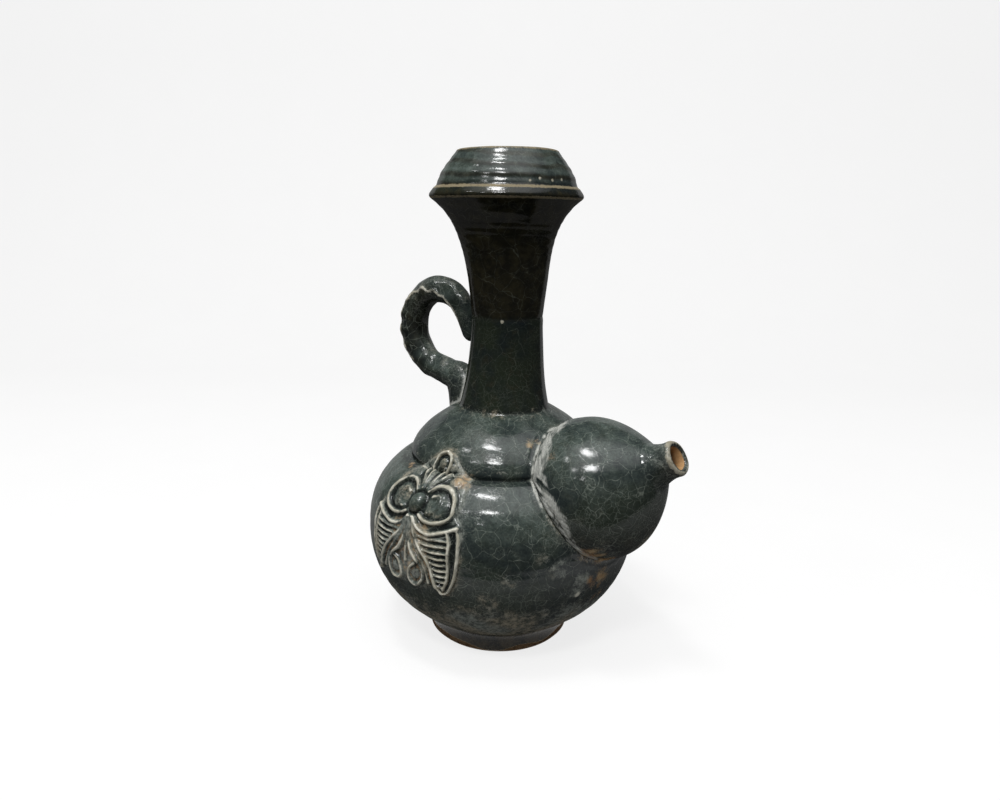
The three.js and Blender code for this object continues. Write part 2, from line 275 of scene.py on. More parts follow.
def lattice_noise(places, cell, seed):
    """Smooth noise from -1 to 1 at an array of places, with the given cell size."""
    table = np.random.RandomState(seed).uniform(-1, 1, (noise_cells,) * 3)
    scaled = np.asarray(places) / cell
    low = np.floor(scaled).astype(int)
    share = scaled - low
    share = share * share * (3 - 2 * share)
    total = np.zeros(scaled.shape[:-1])
    for corner in np.ndindex(2, 2, 2):
        index = (low + corner) % noise_cells
        weight = np.prod(np.where(np.array(corner) == 1, share, 1 - share), axis=-1)
        total += weight * table[index[..., 0], index[..., 1], index[..., 2]]
    return total


def ring_waves(angle, height, pitch, depth):
    """Throwing rings that climb by one ring a turn, unevenly spaced, and swell and fade round the pot."""
    drift = np.stack([height, np.sin(angle) * pitch * 0.4, np.cos(angle) * pitch * 0.4], -1)
    uneven = lattice_noise(drift, 1.7 * pitch, 21)
    phase = FULL_TURN * height / pitch + angle + 2.2 * uneven
    fade = 0.6 + 0.4 * lattice_noise(drift + 11 * pitch, 2.3 * pitch, 22)
    return depth * fade * np.sin(phase)


ring_bands = [
    # pitch, depth, heights between which the rings set in, heights between which they end
    (4.3, 0.12, (foot_top, foot_top + 6), (widest_height - 24, widest_height - 12)),
    (5.3, 0.06, (foot_top + 20, widest_height), (neck_foot_height - 4, neck_foot_height)),
    (3.4, 0.1, (flange_bottom - 30, flange_bottom - 14), (flange_bottom - 3, flange_bottom)),
    (4.4, 0.15, (flange_top + 1, flange_top + 3), (rim_height - 3.5, rim_height - 1.5)),
]


def uneven_skin(place, wave_depth, wave_length, dent_depth, dent_length, seed):
    """Slow waves that mostly sink, with shallow dents on them."""
    waves = wave_depth * (lattice_noise(place, wave_length, seed) - 0.6)
    return waves + dent_depth * lattice_noise(place, dent_length, seed + 1)


def hand_marks(angle, height):
    """How far the thrown surface stands off its clean line, as a function of place alone."""
    turned = np.stack([np.cos(angle), np.sin(angle)], -1) * jug_radius(height)[..., None]
    place = np.concatenate([turned, height[..., None]], -1)
    marks = smooth(0, foot_bevel * 2, height) * uneven_skin(place, 0.22, 26, 0.05, 7, 3)
    for pitch, depth, start, (end_low, end_high) in ring_bands:
        held = smooth(*start, height) * smooth(end_high, end_low, height)
        marks = marks + ring_waves(angle, height, pitch, depth) * held
    seam_roll = hump(height, seam_height - 2.2, 1.2) - hump(height, seam_height, 0.6)
    return marks + seam_depth * seam_roll


# Building meshes


def linked(name, data):
    """A new object in the scene."""
    item = bpy.data.objects.new(name, data)
    bpy.context.scene.collection.objects.link(item)
    return item


def mesh_piece(name, node, material, places, faces, paint, sharp=50):
    """A piece from places in millimetres and faces, with its painted marks as attributes."""
    faces = np.asarray(faces, np.int32)
    mesh = bpy.data.meshes.new(name)
    mesh.vertices.add(len(places))
    mesh.vertices.foreach_set("co", (places * MM).astype(np.float32).ravel())
    mesh.loops.add(faces.size)
    mesh.loops.foreach_set("vertex_index", faces.ravel())
    mesh.polygons.add(len(faces))
    mesh.polygons.foreach_set("loop_start", np.arange(0, faces.size, faces.shape[1], dtype=np.int32))
    mesh.update(calc_edges=True)
    for mark, values in paint.items():
        layer = mesh.attributes.new(mark, "FLOAT", "POINT")
        values = np.broadcast_to(np.clip(values, 0, 1), len(places))
        layer.data.foreach_set("value", values.astype(np.float32))
    mesh.validate()
    mesh.shade_smooth()
    mesh.set_sharp_from_angle(angle=math.radians(sharp))
    mesh.materials.append(material)
    piece = linked(name, mesh)
    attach(piece, "root")
    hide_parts(node)


def sheet_faces(rows, columns, wrap_rows, wrap_columns):
    """Quads over a grid of points, row after row, wrapped round where asked."""
    row = np.arange(rows if wrap_rows else rows - 1)
    column = np.arange(columns if wrap_columns else columns - 1)
    r, c = np.meshgrid(row, column, indexing="ij")
    r2, c2 = (r + 1) % rows, (c + 1) % columns
    corners = [r * columns + c, r * columns + c2, r2 * columns + c2, r2 * columns + c]
    return np.stack(corners, -1).reshape(-1, 4)


def capped(rings, ends):
    """Points and triangles of a tube of rings that a fan closes at either end."""
    rows, columns = rings.shape[:2]
    points = np.vstack([rings.reshape(-1, 3), ends])
    quads = sheet_faces(rows, columns, False, True)
    around = np.arange(columns)
    after = np.roll(around, -1)
    last = (rows - 1) * columns
    first_fan = np.stack([np.full(columns, len(points) - 2), after, around], 1)
    last_fan = np.stack([np.full(columns, len(points) - 1), last + around, last + after], 1)
    return points, np.vstack([quads[:, [0, 1, 2]], quads[:, [0, 2, 3]], first_fan, last_fan])


def turned_points(line, marked=False):
    """Points of a line turned round the axis, with the marks of the hand where asked."""
    angle = full_turn(turn_steps)
    radius = np.repeat(line[:, :1], turn_steps, 1)
    height = np.repeat(line[:, 1:], turn_steps, 1)
    if not marked:
        return round_axis(radius, angle, height)
    out = line_normals(line)
    moved = hand_marks(np.broadcast_to(angle, radius.shape), height)
    points = round_axis(radius + moved * out[:, :1], angle, height + moved * out[:, 1:])
    away = np.stack([np.cos(angle), np.sin(angle), 0 * angle], -1)
    return points + spout_roll(points)[..., None] * away


def turned_piece(name, node, outer, inner, material):
    """A closed ring turned from an outer line and an inner line, both given bottom up."""
    outside = turned_points(outer, marked=True)
    points = np.vstack([outside, turned_points(respaced(inner, inner_step)[::-1])])
    rows = len(points)
    places = points.reshape(-1, 3)
    is_inner = np.repeat(np.arange(rows) >= len(outer), turn_steps)
    faces = sheet_faces(rows, turn_steps, True, True)
    mesh_piece(name, node, material, places, faces, painted(places, is_inner))


# The spout's own axis

spout_slope = math.radians(30.5)
spout_root = np.array([body_radius - 24.2, 0, widest_height + 19.5])
spout_axis = np.array([math.cos(spout_slope), 0, math.sin(spout_slope)])
spout_up = np.array([-math.sin(spout_slope), 0, math.cos(spout_slope)])
spout_side = np.array([0, -1, 0])
bulb_root_radius = 23.8
bulb_radius = 31
bulb_widest_at = 16.5
bulb_length = 46.5
bulb_neck_radius = 9.4
bulb_wall = 4
nozzle_length = 11.3
nozzle_tip_radius = 7.4
nozzle_bore = 4.8
lip_rise = 1.5
spout_tip = bulb_length + nozzle_length
spout_step = 0.15
spout_softness = 1.4
seat_depth = 1.1
crack_at = 2.5
joint_halvings = 30
smear_length = 12.5


def bulb_line(wall, neck_radius):
    widest = (bulb_radius - wall, bulb_widest_at)
    rear = swelling(widest, (bulb_root_radius - wall, 0), bulb_fullness)[::-1]
    front = bezier([
        widest,
        (widest[0], mix(bulb_widest_at, bulb_length, 0.48)),
        between(neck_radius, widest[0], bulb_widest_at, bulb_length, 0.25, 0.865),
        (neck_radius, bulb_length),
    ])
    return np.vstack([rear, front[1:]])


def spout_lines():
    """The bulb's and the nozzle's outer lines, softened as one line and parted at their joint."""
    nozzle_side = bezier([
        (bulb_neck_radius, bulb_length),
        between(nozzle_tip_radius, bulb_neck_radius, bulb_length, spout_tip, 0.05, 0.4),
        (nozzle_tip_radius - 0.5, spout_tip - 4),
        (nozzle_tip_radius, spout_tip - lip_rise),
    ])
    line = respaced(np.vstack([bulb_line(0, bulb_neck_radius), nozzle_side[1:]]), spout_step)
    line[1:-1] = blurred(line, spout_softness / spout_step)[1:-1]
    joint = (np.interp(bulb_length, line[:, 1], line[:, 0]), bulb_length)
    return (
        np.vstack([line[line[:, 1] < bulb_length], joint]),
        np.vstack([joint, line[line[:, 1] > bulb_length]]),
    )


bulb_outline, nozzle_outline = spout_lines()
bulb_hollow = bulb_line(bulb_wall, nozzle_bore)


def radius_at(line, along):
    return np.interp(along, line[:, 1], line[:, 0])


def on_spout(along, radius, angle):
    """Points at a distance along the spout's axis and a radius; angle 0 is up, a quarter turn -Y."""
    across = np.cos(angle)[..., None] * spout_up + np.sin(angle)[..., None] * spout_side
    return spout_root + along[..., None] * spout_axis + radius[..., None] * across


def depth_in_jug(points):
    """How far points lie outside the jug's turned surface, measured level, below zero inside."""
    return np.hypot(points[..., 0], points[..., 1]) - jug_radius(points[..., 2])


def joint_curve(line, angle, depth):
    """Where along its axis the bulb's surface leaves the jug's, for each angle round it."""
    low = np.zeros_like(angle)
    high = np.full_like(angle, bulb_widest_at * 1.7)
    for _ in range(joint_halvings):
        middle = (low + high) / 2
        outside = depth_in_jug(on_spout(middle, radius_at(line, middle), angle)) > -depth
        high = np.where(outside, middle, high)
        low = np.where(outside, low, middle)
    return (low + high) / 2


def outside_bulb(places):
    """How far places lie outside the bulb's surface, and how far along its axis."""
    away = places - spout_root
    along = away @ spout_axis
    radius = np.linalg.norm(away - along[..., None] * spout_axis, axis=-1)
    return radius - radius_at(bulb_outline, along), along


def near_joint(places):
    """One beside the spout's joint, where the pot carries its luting clay, and zero elsewhere."""
    outside, along = outside_bulb(places)
    held = smooth(-9, -4, along) * smooth(27, 22, along)
    upper = mix(0.4, 1, smooth(spout_root[2] - 10, spout_root[2] + 12, places[..., 2]))
    return outside, held * upper


def spout_roll(places):
    """A low roll of luting clay on the pot round the spout's joint, with a tooled line beside it."""
    outside, held = near_joint(places)
    roll = hump(outside, 1.6, 1.2) - 0.45 * hump(outside, 3.6, 0.7)
    return 0.4 * held * (roll + 0.35 * hump(outside, 4.9, 0.8))


# Painted marks: where the glaze is worn, dusty, stained or smeared with slip, and where shade and sheen are
# painted on.
# Each spot has a place, a spread and a strength.

ochre_spots = [
    ((29.2, -19, 99.3), 2.6, 0.75),
    ((31.2, -15.2, 99.8), 2.4, 0.6),
    ((43.7, -23.8, 98.3), 3.5, 0.45),
    ((13.3, -43.7, 85.4), 4.6, 0.85),
    ((15.2, -46, 80), 3.6, 0.6),
    ((16.8, -58.8, 42.4), 3, 0.6),
    ((62.5, -20, 59.5), 5.5, 1),
    ((63.5, -12, 55), 5, 1),
    ((60.7, -9.6, 44.1), 6, 0.9),
    ((57.7, -6, 33.1), 4, 0.7),
    ((60.5, -15, 45), 3.5, 0.65),
    ((60.8, 12, 52), 6, 0.7),
    ((-19.6, -40.2, 86.6), 2.1, 1),
    ((-18, -42.5, 84.6), 1.6, 0.9),
    ((-20, 41, 86), 2, 0.7),
]
dust_spots = [
    ((50.1, -36, 60.7), 6, 0.95),
    ((54.1, -30.7, 53.8), 6, 1.1),
    ((56.9, -21.5, 41.2), 6, 1.1),
    ((40.9, -46.8, 50.1), 5, 0.9),
    ((32.7, -51, 40.2), 7, 0.9),
    ((14, -45, 76), 5, 0.9),
    ((58.4, -20.5, 46), 6, 1.1),
    ((47.5, -30.4, 32), 7, 1),
    ((20, -53, 33), 8, 0.9),
]
chip_spots = [
    ((26.4, -13.1, 207.4), 0.7, 1),
    ((24.2, -16.8, 206.3), 0.7, 1),
    ((28.5, -7.6, 206.6), 0.8, 1),
    ((29.4, -2.2, 207.2), 0.7, 1),
    ((56.8, -20.4, 39.3), 1.7, 1),
    ((57.6, -19.2, 37.6), 1.1, 0.9),
    ((8.8, -13.4, 148.6), 0.9, 1),
]


def spots(places, table):
    total = np.zeros(len(places))
    for centre, spread, strength in table:
        distance = np.linalg.norm(places - np.array(centre), axis=1)
        total = np.maximum(total, strength * hump(distance, 0, spread))
    return total


# Marks that follow the height alone: where each lies, its width and its strength
worn_bands = [
    (flange_bottom + 0.3, 0.6, 0.85),
    (flange_top - 0.3, 0.7, 1.05),
    (groove_height + 4, 1.5, 0.35),
]
# Painted shade: darker glaze in the groove and in the crease at the neck's foot
pool_and_shade_bands = [(groove_height + 0.3, 1.2, 0.6), (neck_foot_height + 1, 1, 0.7)]
dust_bands = [
    # the same, then how much its strength follows the patches and the grain
    (foot_top + 12, 16, 1.02, 0.35, 0.3),
    (groove_height - 3, 3.2, 0.3, 0.2, 0),
    (neck_foot_height, 4, 0.45, 0, 0.375),
]
grain_size = 2.2
glaze_edge_height = 2.6
edge_softness = 0.9


def bands_at(z, table):
    return np.maximum.reduce([strength * hump(z, height, width) for height, width, strength in table])


def dust_on_pot(places, patchy, grainy):
    """Dust low on the body, in its creases, and round the spout and the sprigs."""
    z = places[:, 2]
    outside, along = outside_bulb(places)
    by_spout = np.exp(-np.clip(outside, 0, None) / 5) * ((along > -8) & (along < 26))
    front = np.clip(0.2 + lattice_noise(places, 16, 13), 0, 1)
    bands = [hump(z, height, width) * (strength + by_patch * patchy + by_grain * grainy)
             for height, width, strength, by_patch, by_grain in dust_bands]
    return np.maximum.reduce([
        *bands,
        0.55 * front * hump(z, widest_height + 5, 26),
        0.75 * by_spout,
        0.7 * sprig_dust(places),
        spots(places, dust_spots) * (0.78 + 0.5 * grainy),
    ])


def painted(places, is_inner=False):
    """Marks on the turned pieces, from the place alone."""
    x, y, z = places.T
    angle = np.arctan2(y, x)
    patchy = lattice_noise(places, 9, 11)
    grainy = lattice_noise(places, grain_size, 12)
    chips = spots(places, chip_spots)
    outside, held = near_joint(places)
    roll_slip = held * (hump(outside, 1.3, 0.9) + 0.4 * hump(outside, 4.8, 0.9))
    roll_line = held * hump(outside, 3.3, 0.35)
    worn = np.maximum(bands_at(z, worn_bands), 0.8 * smooth(rim_height - 1.7, rim_height - 0.6, z))
    worn = np.maximum(worn * (0.92 + 0.25 * grainy), chips)
    bands = np.sin(FULL_TURN * z / 4.4 + angle + 1.5 * patchy)
    mouth_bands = smooth(-0.1, 0.8, bands) * (z > flange_top)
    upper_neck = smooth(seam_height - 2, seam_height + 2, z) * smooth(flange_top, flange_bottom, z)
    edge_waves = 0.8 * np.sin(3 * angle + 0.6) + 0.5 * np.sin(7 * angle) + 1.2 * patchy
    above_edge = z - glaze_edge_height - edge_waves
    # How much veil of wear and painted sheen each height takes; the material thickens it on whatever faces
    # up
    veil_and_sheen = 0.75 * smooth(neck_foot_height + 3, neck_foot_height - 2, z)
    veil_and_sheen = veil_and_sheen + 0.2 * smooth(groove_height, groove_height - 3, z)
    veil_and_sheen = veil_and_sheen + smooth(flange_top + 0.5, flange_top + 2, z) * (1 - 0.55 * mouth_bands)
    return {
        "dust_and_sheen": np.where(is_inner, 0.25, dust_on_pot(places, patchy, grainy)),
        "worn": np.where(is_inner & (z < rim_height - 3), 0, worn),
        "olive": np.maximum.reduce([upper_neck, mouth_bands, 0.45 * smooth(foot_top + 22, foot_top, z)]),
        "ochre": spots(places, ochre_spots) * (0.75 + 0.5 * grainy),
        "slip": roll_slip * np.clip(0.7 + 0.6 * grainy, 0, 1),
        "bare": np.where(is_inner, 0, smooth(edge_softness, -edge_softness, above_edge)),
        "pool_and_shade": 0.55 * roll_line + bands_at(z, pool_and_shade_bands),
        "veil_and_sheen": veil_and_sheen,
        "banded": smooth(flange_bottom - 2, flange_bottom, z) * (1 - chips),
    }


# Turned pieces


def foot_piece():
    outer = outer_part(0, foot_top)
    outer = np.vstack([(foot_radius - foot_bevel, 0), outer[1:]])
    side = turned_points(outer, marked=True)
    side[0, :, 2] = 0
    share = np.linspace(1, 0, 9)[1:-1, None, None]
    centre_top = np.array([0, 0, foot_top])
    rings = np.vstack([side[0] * share[::-1], side, centre_top + (side[-1] - centre_top) * share])
    points, faces = capped(rings, [(0, 0, 0), centre_top])
    mesh_piece("foot_ring", "foot", clay_material(), points, faces, painted(points))


def body_pieces(glaze):
    inner_widest = (body_radius - body_wall, widest_height)
    inner_top = (shoulder_radius - body_wall, groove_height)
    inner_neck = (neck_foot_radius - neck_wall, neck_foot_height)
    floor_height = foot_top + body_wall
    crown = between(neck_foot_radius - body_wall, inner_top[0], groove_height, neck_foot_height, 0.87, 0.55)
    low_hollow = swelling(inner_widest, (foot_top_radius, floor_height), lower_fullness)[::-1]
    low_hollow = np.vstack([(floor_radius, floor_height), low_hollow])
    lower = np.vstack([(floor_radius, foot_top), outer_part(foot_top, widest_height)])
    turned_piece("lower_body_glazed", "lower_body", lower, low_hollow, glaze)
    high_hollow = swelling(inner_widest, inner_top, upper_fullness)
    upper = outer_part(widest_height, groove_height)
    turned_piece("upper_body_glazed", "upper_body", upper, high_hollow, glaze)
    top = outer_part(groove_height, neck_foot_height)
    turned_piece("shoulder_glazed", "shoulder", top, bezier([inner_top, crown, inner_neck]), glaze)


def rounded_lip(middle, half_width, rise):
    turn = np.linspace(0, math.pi, 13)[1:-1]
    return np.c_[middle[0] + half_width * np.cos(turn), middle[1] + rise * np.sin(turn)]


def neck_pieces(glaze):
    lower = outer_part(neck_foot_height, seam_height)
    upper = outer_part(seam_height, flange_bottom)
    turned_piece("lower_neck_glazed", "lower_neck", lower, lower - (neck_wall, 0), glaze)
    turned_piece("upper_neck_glazed", "upper_neck", upper, upper - (neck_wall, 0), glaze)
    flange = outer_part(flange_bottom, flange_top)
    flange_hollow = flange * (0, 1) + (neck_top_radius - flange_hollow_inset, 0)
    turned_piece("flange_glazed", "neck_flange", flange, flange_hollow, glaze)
    mouth = outer_part(flange_top, rim_height - rim_bevel)
    lip = rounded_lip((rim_radius - mouth_wall / 2, rim_height - rim_bevel), mouth_wall / 2, rim_bevel)
    turned_piece("mouth_glazed", "mouth_cup", np.vstack([mouth, lip]), mouth - (mouth_wall, 0), glaze)


# Spout pieces


def turn_from(angle, centre=0):
    """How far an angle lies from another, the short way round."""
    return np.abs(np.arctan2(np.sin(angle - centre), np.cos(angle - centre)))


def lower_side(angle):
    """One on the spout's lower side and zero on its upper side."""
    return smooth(1.45, 1.8, turn_from(angle))


def smear_reach(angle):
    """How far the smear of slip runs over the bulb from the joint, for each angle round the spout."""
    side = turn_from(angle)
    reach = smear_length + 1.8 * np.sin(3 * angle + 0.4) + 1.3 * np.sin(8 * angle)
    return reach * mix(1, 0.33, smooth(1.5, 2.2, side)) * smooth(2.9, 2.5, side)


def brush_streaks(angle, past):
    """Brush strokes that run down the joint and fan out over the bulb, from -1 to 1."""
    down = angle * bulb_radius * 0.8
    stroke = 0.87 * down + 0.5 * past
    across = 0.87 * past - 0.5 * down
    broad = lattice_noise(np.stack([stroke / 9, across / 1.5, 0 * past], -1), 1, 31)
    thin = lattice_noise(np.stack([stroke / 7, across / 0.7, 0 * past], -1), 1, 32)
    return 0.6 * broad + 0.55 * thin


def luting_relief(angle, past):
    """Thickness of the luting clay on the bulb, by the distance past the joint."""
    lower = lower_side(angle) * smooth(2.9, 2.5, turn_from(angle))
    wander = 0.5 * np.sin(5 * angle + 1) + 0.35 * np.sin(11 * angle)
    reach = smear_reach(angle)
    cover = smooth(reach + 0.3, 0.45 * reach, past) * (reach > 0.5)
    smear = cover * (0.5 + 0.16 * brush_streaks(angle, past))
    roll = 0.35 * hump(past, 1 + wander, 0.9) * (1 - lower)
    crack = 1.1 * hump(past, crack_at + wander / 2, 0.45) * lower
    return smear + roll - crack


def slip_marks(angle, past):
    """The grey slip smear: broad and streaky on the upper half, thin and short below."""
    reach = smear_reach(angle)
    cover = smooth(reach + 0.4, 0.4 * reach, past) * smooth(-0.3, 0.5, past)
    return cover * (reach > 0.5) * np.clip(0.85 + 0.7 * brush_streaks(angle, past), 0, 1)


def bulb_piece(glaze):
    angle = full_turn(spout_steps)
    start = joint_curve(bulb_outline, angle, seat_depth)
    rows = int((bulb_length - start.mean()) / bulb_step)
    along = mix(start, bulb_length, np.linspace(0, 1, rows)[:, None] ** 1.25)
    turn = np.broadcast_to(angle, along.shape)
    past = along - joint_curve(bulb_outline, angle, 0)
    radius = radius_at(bulb_outline, along)
    place = on_spout(along, radius, turn)
    wobble = uneven_skin(place, 0.2, 22, 0.05, 6, 5) * smooth(bulb_length, bulb_length - 8, along)
    outside = on_spout(along, radius + wobble + luting_relief(turn, past), turn)
    inner_start = joint_curve(bulb_hollow, angle, seat_depth)
    inner_along = mix(inner_start, bulb_length, np.linspace(1, 0, 24)[:, None])
    inner_turn = np.broadcast_to(angle, inner_along.shape)
    inside = on_spout(inner_along, radius_at(bulb_hollow, inner_along), inner_turn)
    points = np.vstack([outside, inside])
    faces = sheet_faces(len(points), spout_steps, True, True)[:, ::-1]
    places = points.reshape(-1, 3)

    def outer_only(values):
        return np.r_[values.ravel(), np.zeros(inside.size // 3)]

    grainy = lattice_noise(places, grain_size, 12)
    patchy = 0.5 + 0.5 * lattice_noise(places, 8, 14)
    below = smooth(spout_root[2] + 12, spout_root[2] - 18, places[:, 2])
    crack = hump(past, crack_at, 0.7) * lower_side(turn)
    paint = {
        "slip": outer_only(slip_marks(turn, past)) * (0.85 + 0.3 * grainy),
        "pool_and_shade": outer_only(crack),
        "dust_and_sheen": 0.25 * patchy + below * (0.25 + 0.6 * patchy),
        "olive": 0.7 * below,
        "veil_and_sheen": 0.85,
        "ochre": spots(places, ochre_spots) * (0.75 + 0.5 * grainy),
    }
    mesh_piece("spout_bulb_glazed", "spout_bulb", glaze, places, faces, paint)


def nozzle_piece(glaze):
    root, tip = bulb_length, spout_tip
    lip_start = tip - lip_rise
    lip_half = (nozzle_tip_radius - nozzle_bore) / 2
    lip = rounded_lip((nozzle_bore + lip_half, lip_start), lip_half, lip_rise)
    bore = [(nozzle_bore, lip_start), (nozzle_bore - 0.3, tip - 3 * lip_rise), (nozzle_bore, root)]
    side = respaced(np.vstack([nozzle_outline, lip]), 0.35)
    line = np.vstack([side, respaced(np.array(bore), 0.7)[1:]])
    angle = full_turn(spout_steps // 2)
    along = np.repeat(line[:, 1:], len(angle), 1)
    radius = np.repeat(line[:, :1], len(angle), 1)
    turn = np.broadcast_to(angle, along.shape)
    uneven = 0.18 * np.sin(2 * turn + 0.8) + 0.1 * np.sin(5 * turn) - 0.1
    radius = radius + uneven * smooth(root, tip, along)
    places = on_spout(along, radius, turn).reshape(-1, 3)
    faces = sheet_faces(len(line), len(angle), True, True)[:, ::-1]
    grainy = lattice_noise(places, 1.6, 15)
    patchy = lattice_noise(places, 4, 19)
    reach = along.ravel()
    towards_tip = smooth(root, tip, reach)
    in_bore = np.repeat(np.arange(len(line)) >= len(side) - 1, len(angle))
    inner_edge = hump(radius.ravel(), nozzle_bore + 0.45, 0.5) * (reach > tip - 1.6 * lip_rise)
    lip_worn = smooth(tip - 1.9 * lip_rise, tip - 0.4 * lip_rise, reach + 0.6 * grainy)
    # Painted shade: the bore's clay darkens further in
    deep_in = 0.9 * smooth(tip - 1.2 * lip_rise, tip - 5 * lip_rise, reach)
    paint = {
        "worn": np.where(in_bore, 0, 0.66 * lip_worn * (1 - inner_edge) * (1 + 0.2 * grainy)),
        "bore": in_bore,
        "pool_and_shade": np.where(in_bore, deep_in, inner_edge),
        "banded": 0.5 * towards_tip,
        "olive": 0.5 * towards_tip + 0.8 * inner_edge,
        "dust_and_sheen": 0.38 + 0.25 * towards_tip + 0.2 * patchy,
        "veil_and_sheen": 0.95,
    }
    mesh_piece("spout_nozzle_glazed", "spout_nozzle", glaze, places, faces, paint)


# Handle coil

handle_reach = 56
handle_height = neck_foot_height + 30.2
handle_half_height = 19.5
coil_radius = 6.7
coil_root_radius = 7.2
coil_tail_radius = 3.7
coil_shares = [
    (0.42, -2.1), (0.43, -1.6), (0.485, -1.15), (0.63, -0.97), (0.82, -0.81), (0.95, -0.43), (1, 0),
    (0.96, 0.53), (0.82, 0.92), (0.64, 1), (0.5, 0.83), (0.42, 0.51), (0.385, 0.2), (0.362, -0.17),
]
knob_pitch = 6.8
knob_start = 0.2
knob_height = 1.15
ridge_relief = 0.6
root_flattening = 4.5
loop_flattening = 0.7

# Thumb dents: place along the coil, turn from the coil's outer side (degrees, towards -Y),
# half length, half turn (degrees) and depth
coil_dents = [
    (24.5, 122, 4.0, 42, 1.6), (34, 120, 4.6, 46, 2.1), (45, 105, 3.4, 34, 0.9), (54.6, 78, 3.0, 34, 0.7),
    (61.4, 76, 3.0, 34, 0.7), (68.2, 74, 3.2, 34, 0.7), (77, 58, 4.4, 34, 0.8), (93.5, 64, 5.2, 44, 1.9),
    (104, 84, 3.8, 36, 1), (26, -118, 4.8, 42, 0.8), (41, -105, 4.8, 42, 0.8), (54, -80, 3.6, 34, 0.7),
    (64, -78, 3.6, 34, 0.7), (75, -64, 4.4, 34, 0.5), (92, -55, 5.2, 36, 0.5),
]
ridge_places = [40, 50, 58, 68, 76, 84, 92, 100, 110, 118]
ridge_turns = np.radians([66, 46, 38, 40, 60, 84, 104, 120, 134, 142])


def handle_centres():
    """The coil's centre line; its tail follows the neck's lean."""
    centres = spline([(-reach * handle_reach, 0, handle_height + rise * handle_half_height)
                      for reach, rise in coil_shares], coil_step)
    lengths = lengths_along(centres)
    lean_x, lean_y = axis_lean(centres[:, 2])
    held = smooth(0.84, 1, lengths / lengths[-1])
    centres[:, 0] += lean_x * held
    centres[:, 1] += lean_y * held
    return centres


def handle_piece(glaze):
    centres = handle_centres()
    along = np.gradient(centres, axis=0)
    along /= np.linalg.norm(along, axis=1)[:, None]
    side = np.array([0, -1.0, 0])
    outward = np.cross(side, along)
    lengths = lengths_along(centres)[:, None]
    length = lengths[-1, 0]
    share = lengths / length
    angle = full_turn(coil_sides)
    root = smooth(0.25, 0, share)
    tail = smooth(0.7, 1, share)
    on_loop = smooth(0.18, 0.28, share) - smooth(0.68, 0.8, share)
    radius = coil_radius + (coil_root_radius - coil_radius) * root - (coil_radius - coil_tail_radius) * tail

    # Knobs on the outer side, a pinched ridge on either flank, and the thumb dents
    crest = np.clip(np.cos(angle), 0, 1)
    inner = np.clip(-np.cos(angle), 0, 1)
    wave = 0.5 - 0.5 * np.cos(FULL_TURN * (lengths - knob_start) / knob_pitch)
    strength = hump(lengths, 55, 17)
    knobs = knob_height * strength * wave**1.2 * crest**1.5
    scallop = 0.22 * (wave - 0.5) * smooth(0.86, 0.7, share)
    ridge_turn = np.interp(lengths, ridge_places, ridge_turns) + scallop
    ridges = hump(turn_from(angle, ridge_turn), 0, 0.15) + 0.8 * hump(turn_from(angle, -ridge_turn), 0, 0.17)
    ridged = smooth(0.3, 0.4, share) * smooth(1, 0.93, share) * ridges
    dents = 0
    for place, turn, half_length, half_turn, depth in coil_dents:
        swing = turn_from(angle, math.radians(turn))
        dents = dents - depth * hump(lengths, place, half_length) * hump(swing, 0, math.radians(half_turn))
    flat_inner = (root_flattening * smooth(0.22, 0.1, share) - loop_flattening * on_loop) * inner**2
    radius = radius + knobs + ridge_relief * ridged + dents + flat_inner
    end_share = np.clip((length - lengths) / coil_tail_radius, 0, 1)
    radius = radius * np.sqrt(np.clip(1 - (1 - end_share) ** 2, 0.0025, 1))
    across = np.cos(angle)[..., None] * outward[:, None, :] + np.sin(angle)[..., None] * side
    rings = centres[:, None, :] + radius[..., None] * across
    uneven = 0.16 * lattice_noise(rings, 7, 7) + 0.07 * lattice_noise(rings, 3, 8)
    rings = rings + uneven[..., None] * across
    points, faces = capped(rings, [centres[0], centres[-1]])

    grainy = lattice_noise(points, 1.8, 16)
    patchy = lattice_noise(points, 5, 20)
    dented = np.clip(-dents / 0.7, 0, 1)
    # Painted light and shade: paler dust and sheen on faces that look up, painted shade on the loop's inner
    # side and in its dents
    shaded_loop = on_loop * smooth(0.36, 0.46, share)
    lit = smooth(0.1, 0.8, across[..., 2])
    marks = {
        "worn": 0.92 * ridged + 0.5 * strength * wave**3 * crest**4,
        "olive": on_loop * (0.9 - 0.8 * dented) + 0.3 * root,
        "dust_and_sheen": 0.28 + 0.2 * root + 0.5 * ridged - 0.1 * dented + 0.3 * lit,
        "pool_and_shade": shaded_loop * (0.6 * dented + 0.5 * smooth(0.3, 1, inner)),
        "veil_and_sheen": 1.0 - 0.5 * shaded_loop * (1 - lit),
    }
    paint = {mark: np.r_[np.broadcast_to(values, radius.shape).ravel(), 0, 0]
             for mark, values in marks.items()}
    paint["worn"] = paint["worn"] * (0.8 + 0.5 * grainy)
    paint["dust_and_sheen"] = paint["dust_and_sheen"] + 0.25 * patchy
    paint["slip"] = root_slip(points)
    mesh_piece("handle_coil_glazed", "handle", glaze, points, faces, paint)


def root_slip(places):
    """Pale slip where the handle's root meets the neck and the shoulder, and brushed up beside it."""
    away = depth_in_jug(places)
    low = smooth(handle_height - 11, handle_height - 17, places[:, 2])
    streaks = lattice_noise(places / np.array([1, 1, 5]), 0.9, 33)
    brushed = 0.95 * np.exp(-np.clip(away, 0, None) / 4) * np.clip(0.65 + 1.2 * streaks, 0, 1)
    return low * np.maximum(0.9 * hump(away, 0.3, 1.6), brushed)


# Moulded sprig: a fly-like flower spray, raised from a height map over its pad.
# Its lines are given for one half, as shares of the half width and of the height.

sprig_low, sprig_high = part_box("front_sprig")
sprig_half_width = (sprig_high.x - sprig_low.x) / 2 / MM
sprig_bottom = sprig_low.z / MM
sprig_height = (sprig_high.z - sprig_low.z) / MM
sprig_margin = 2.2

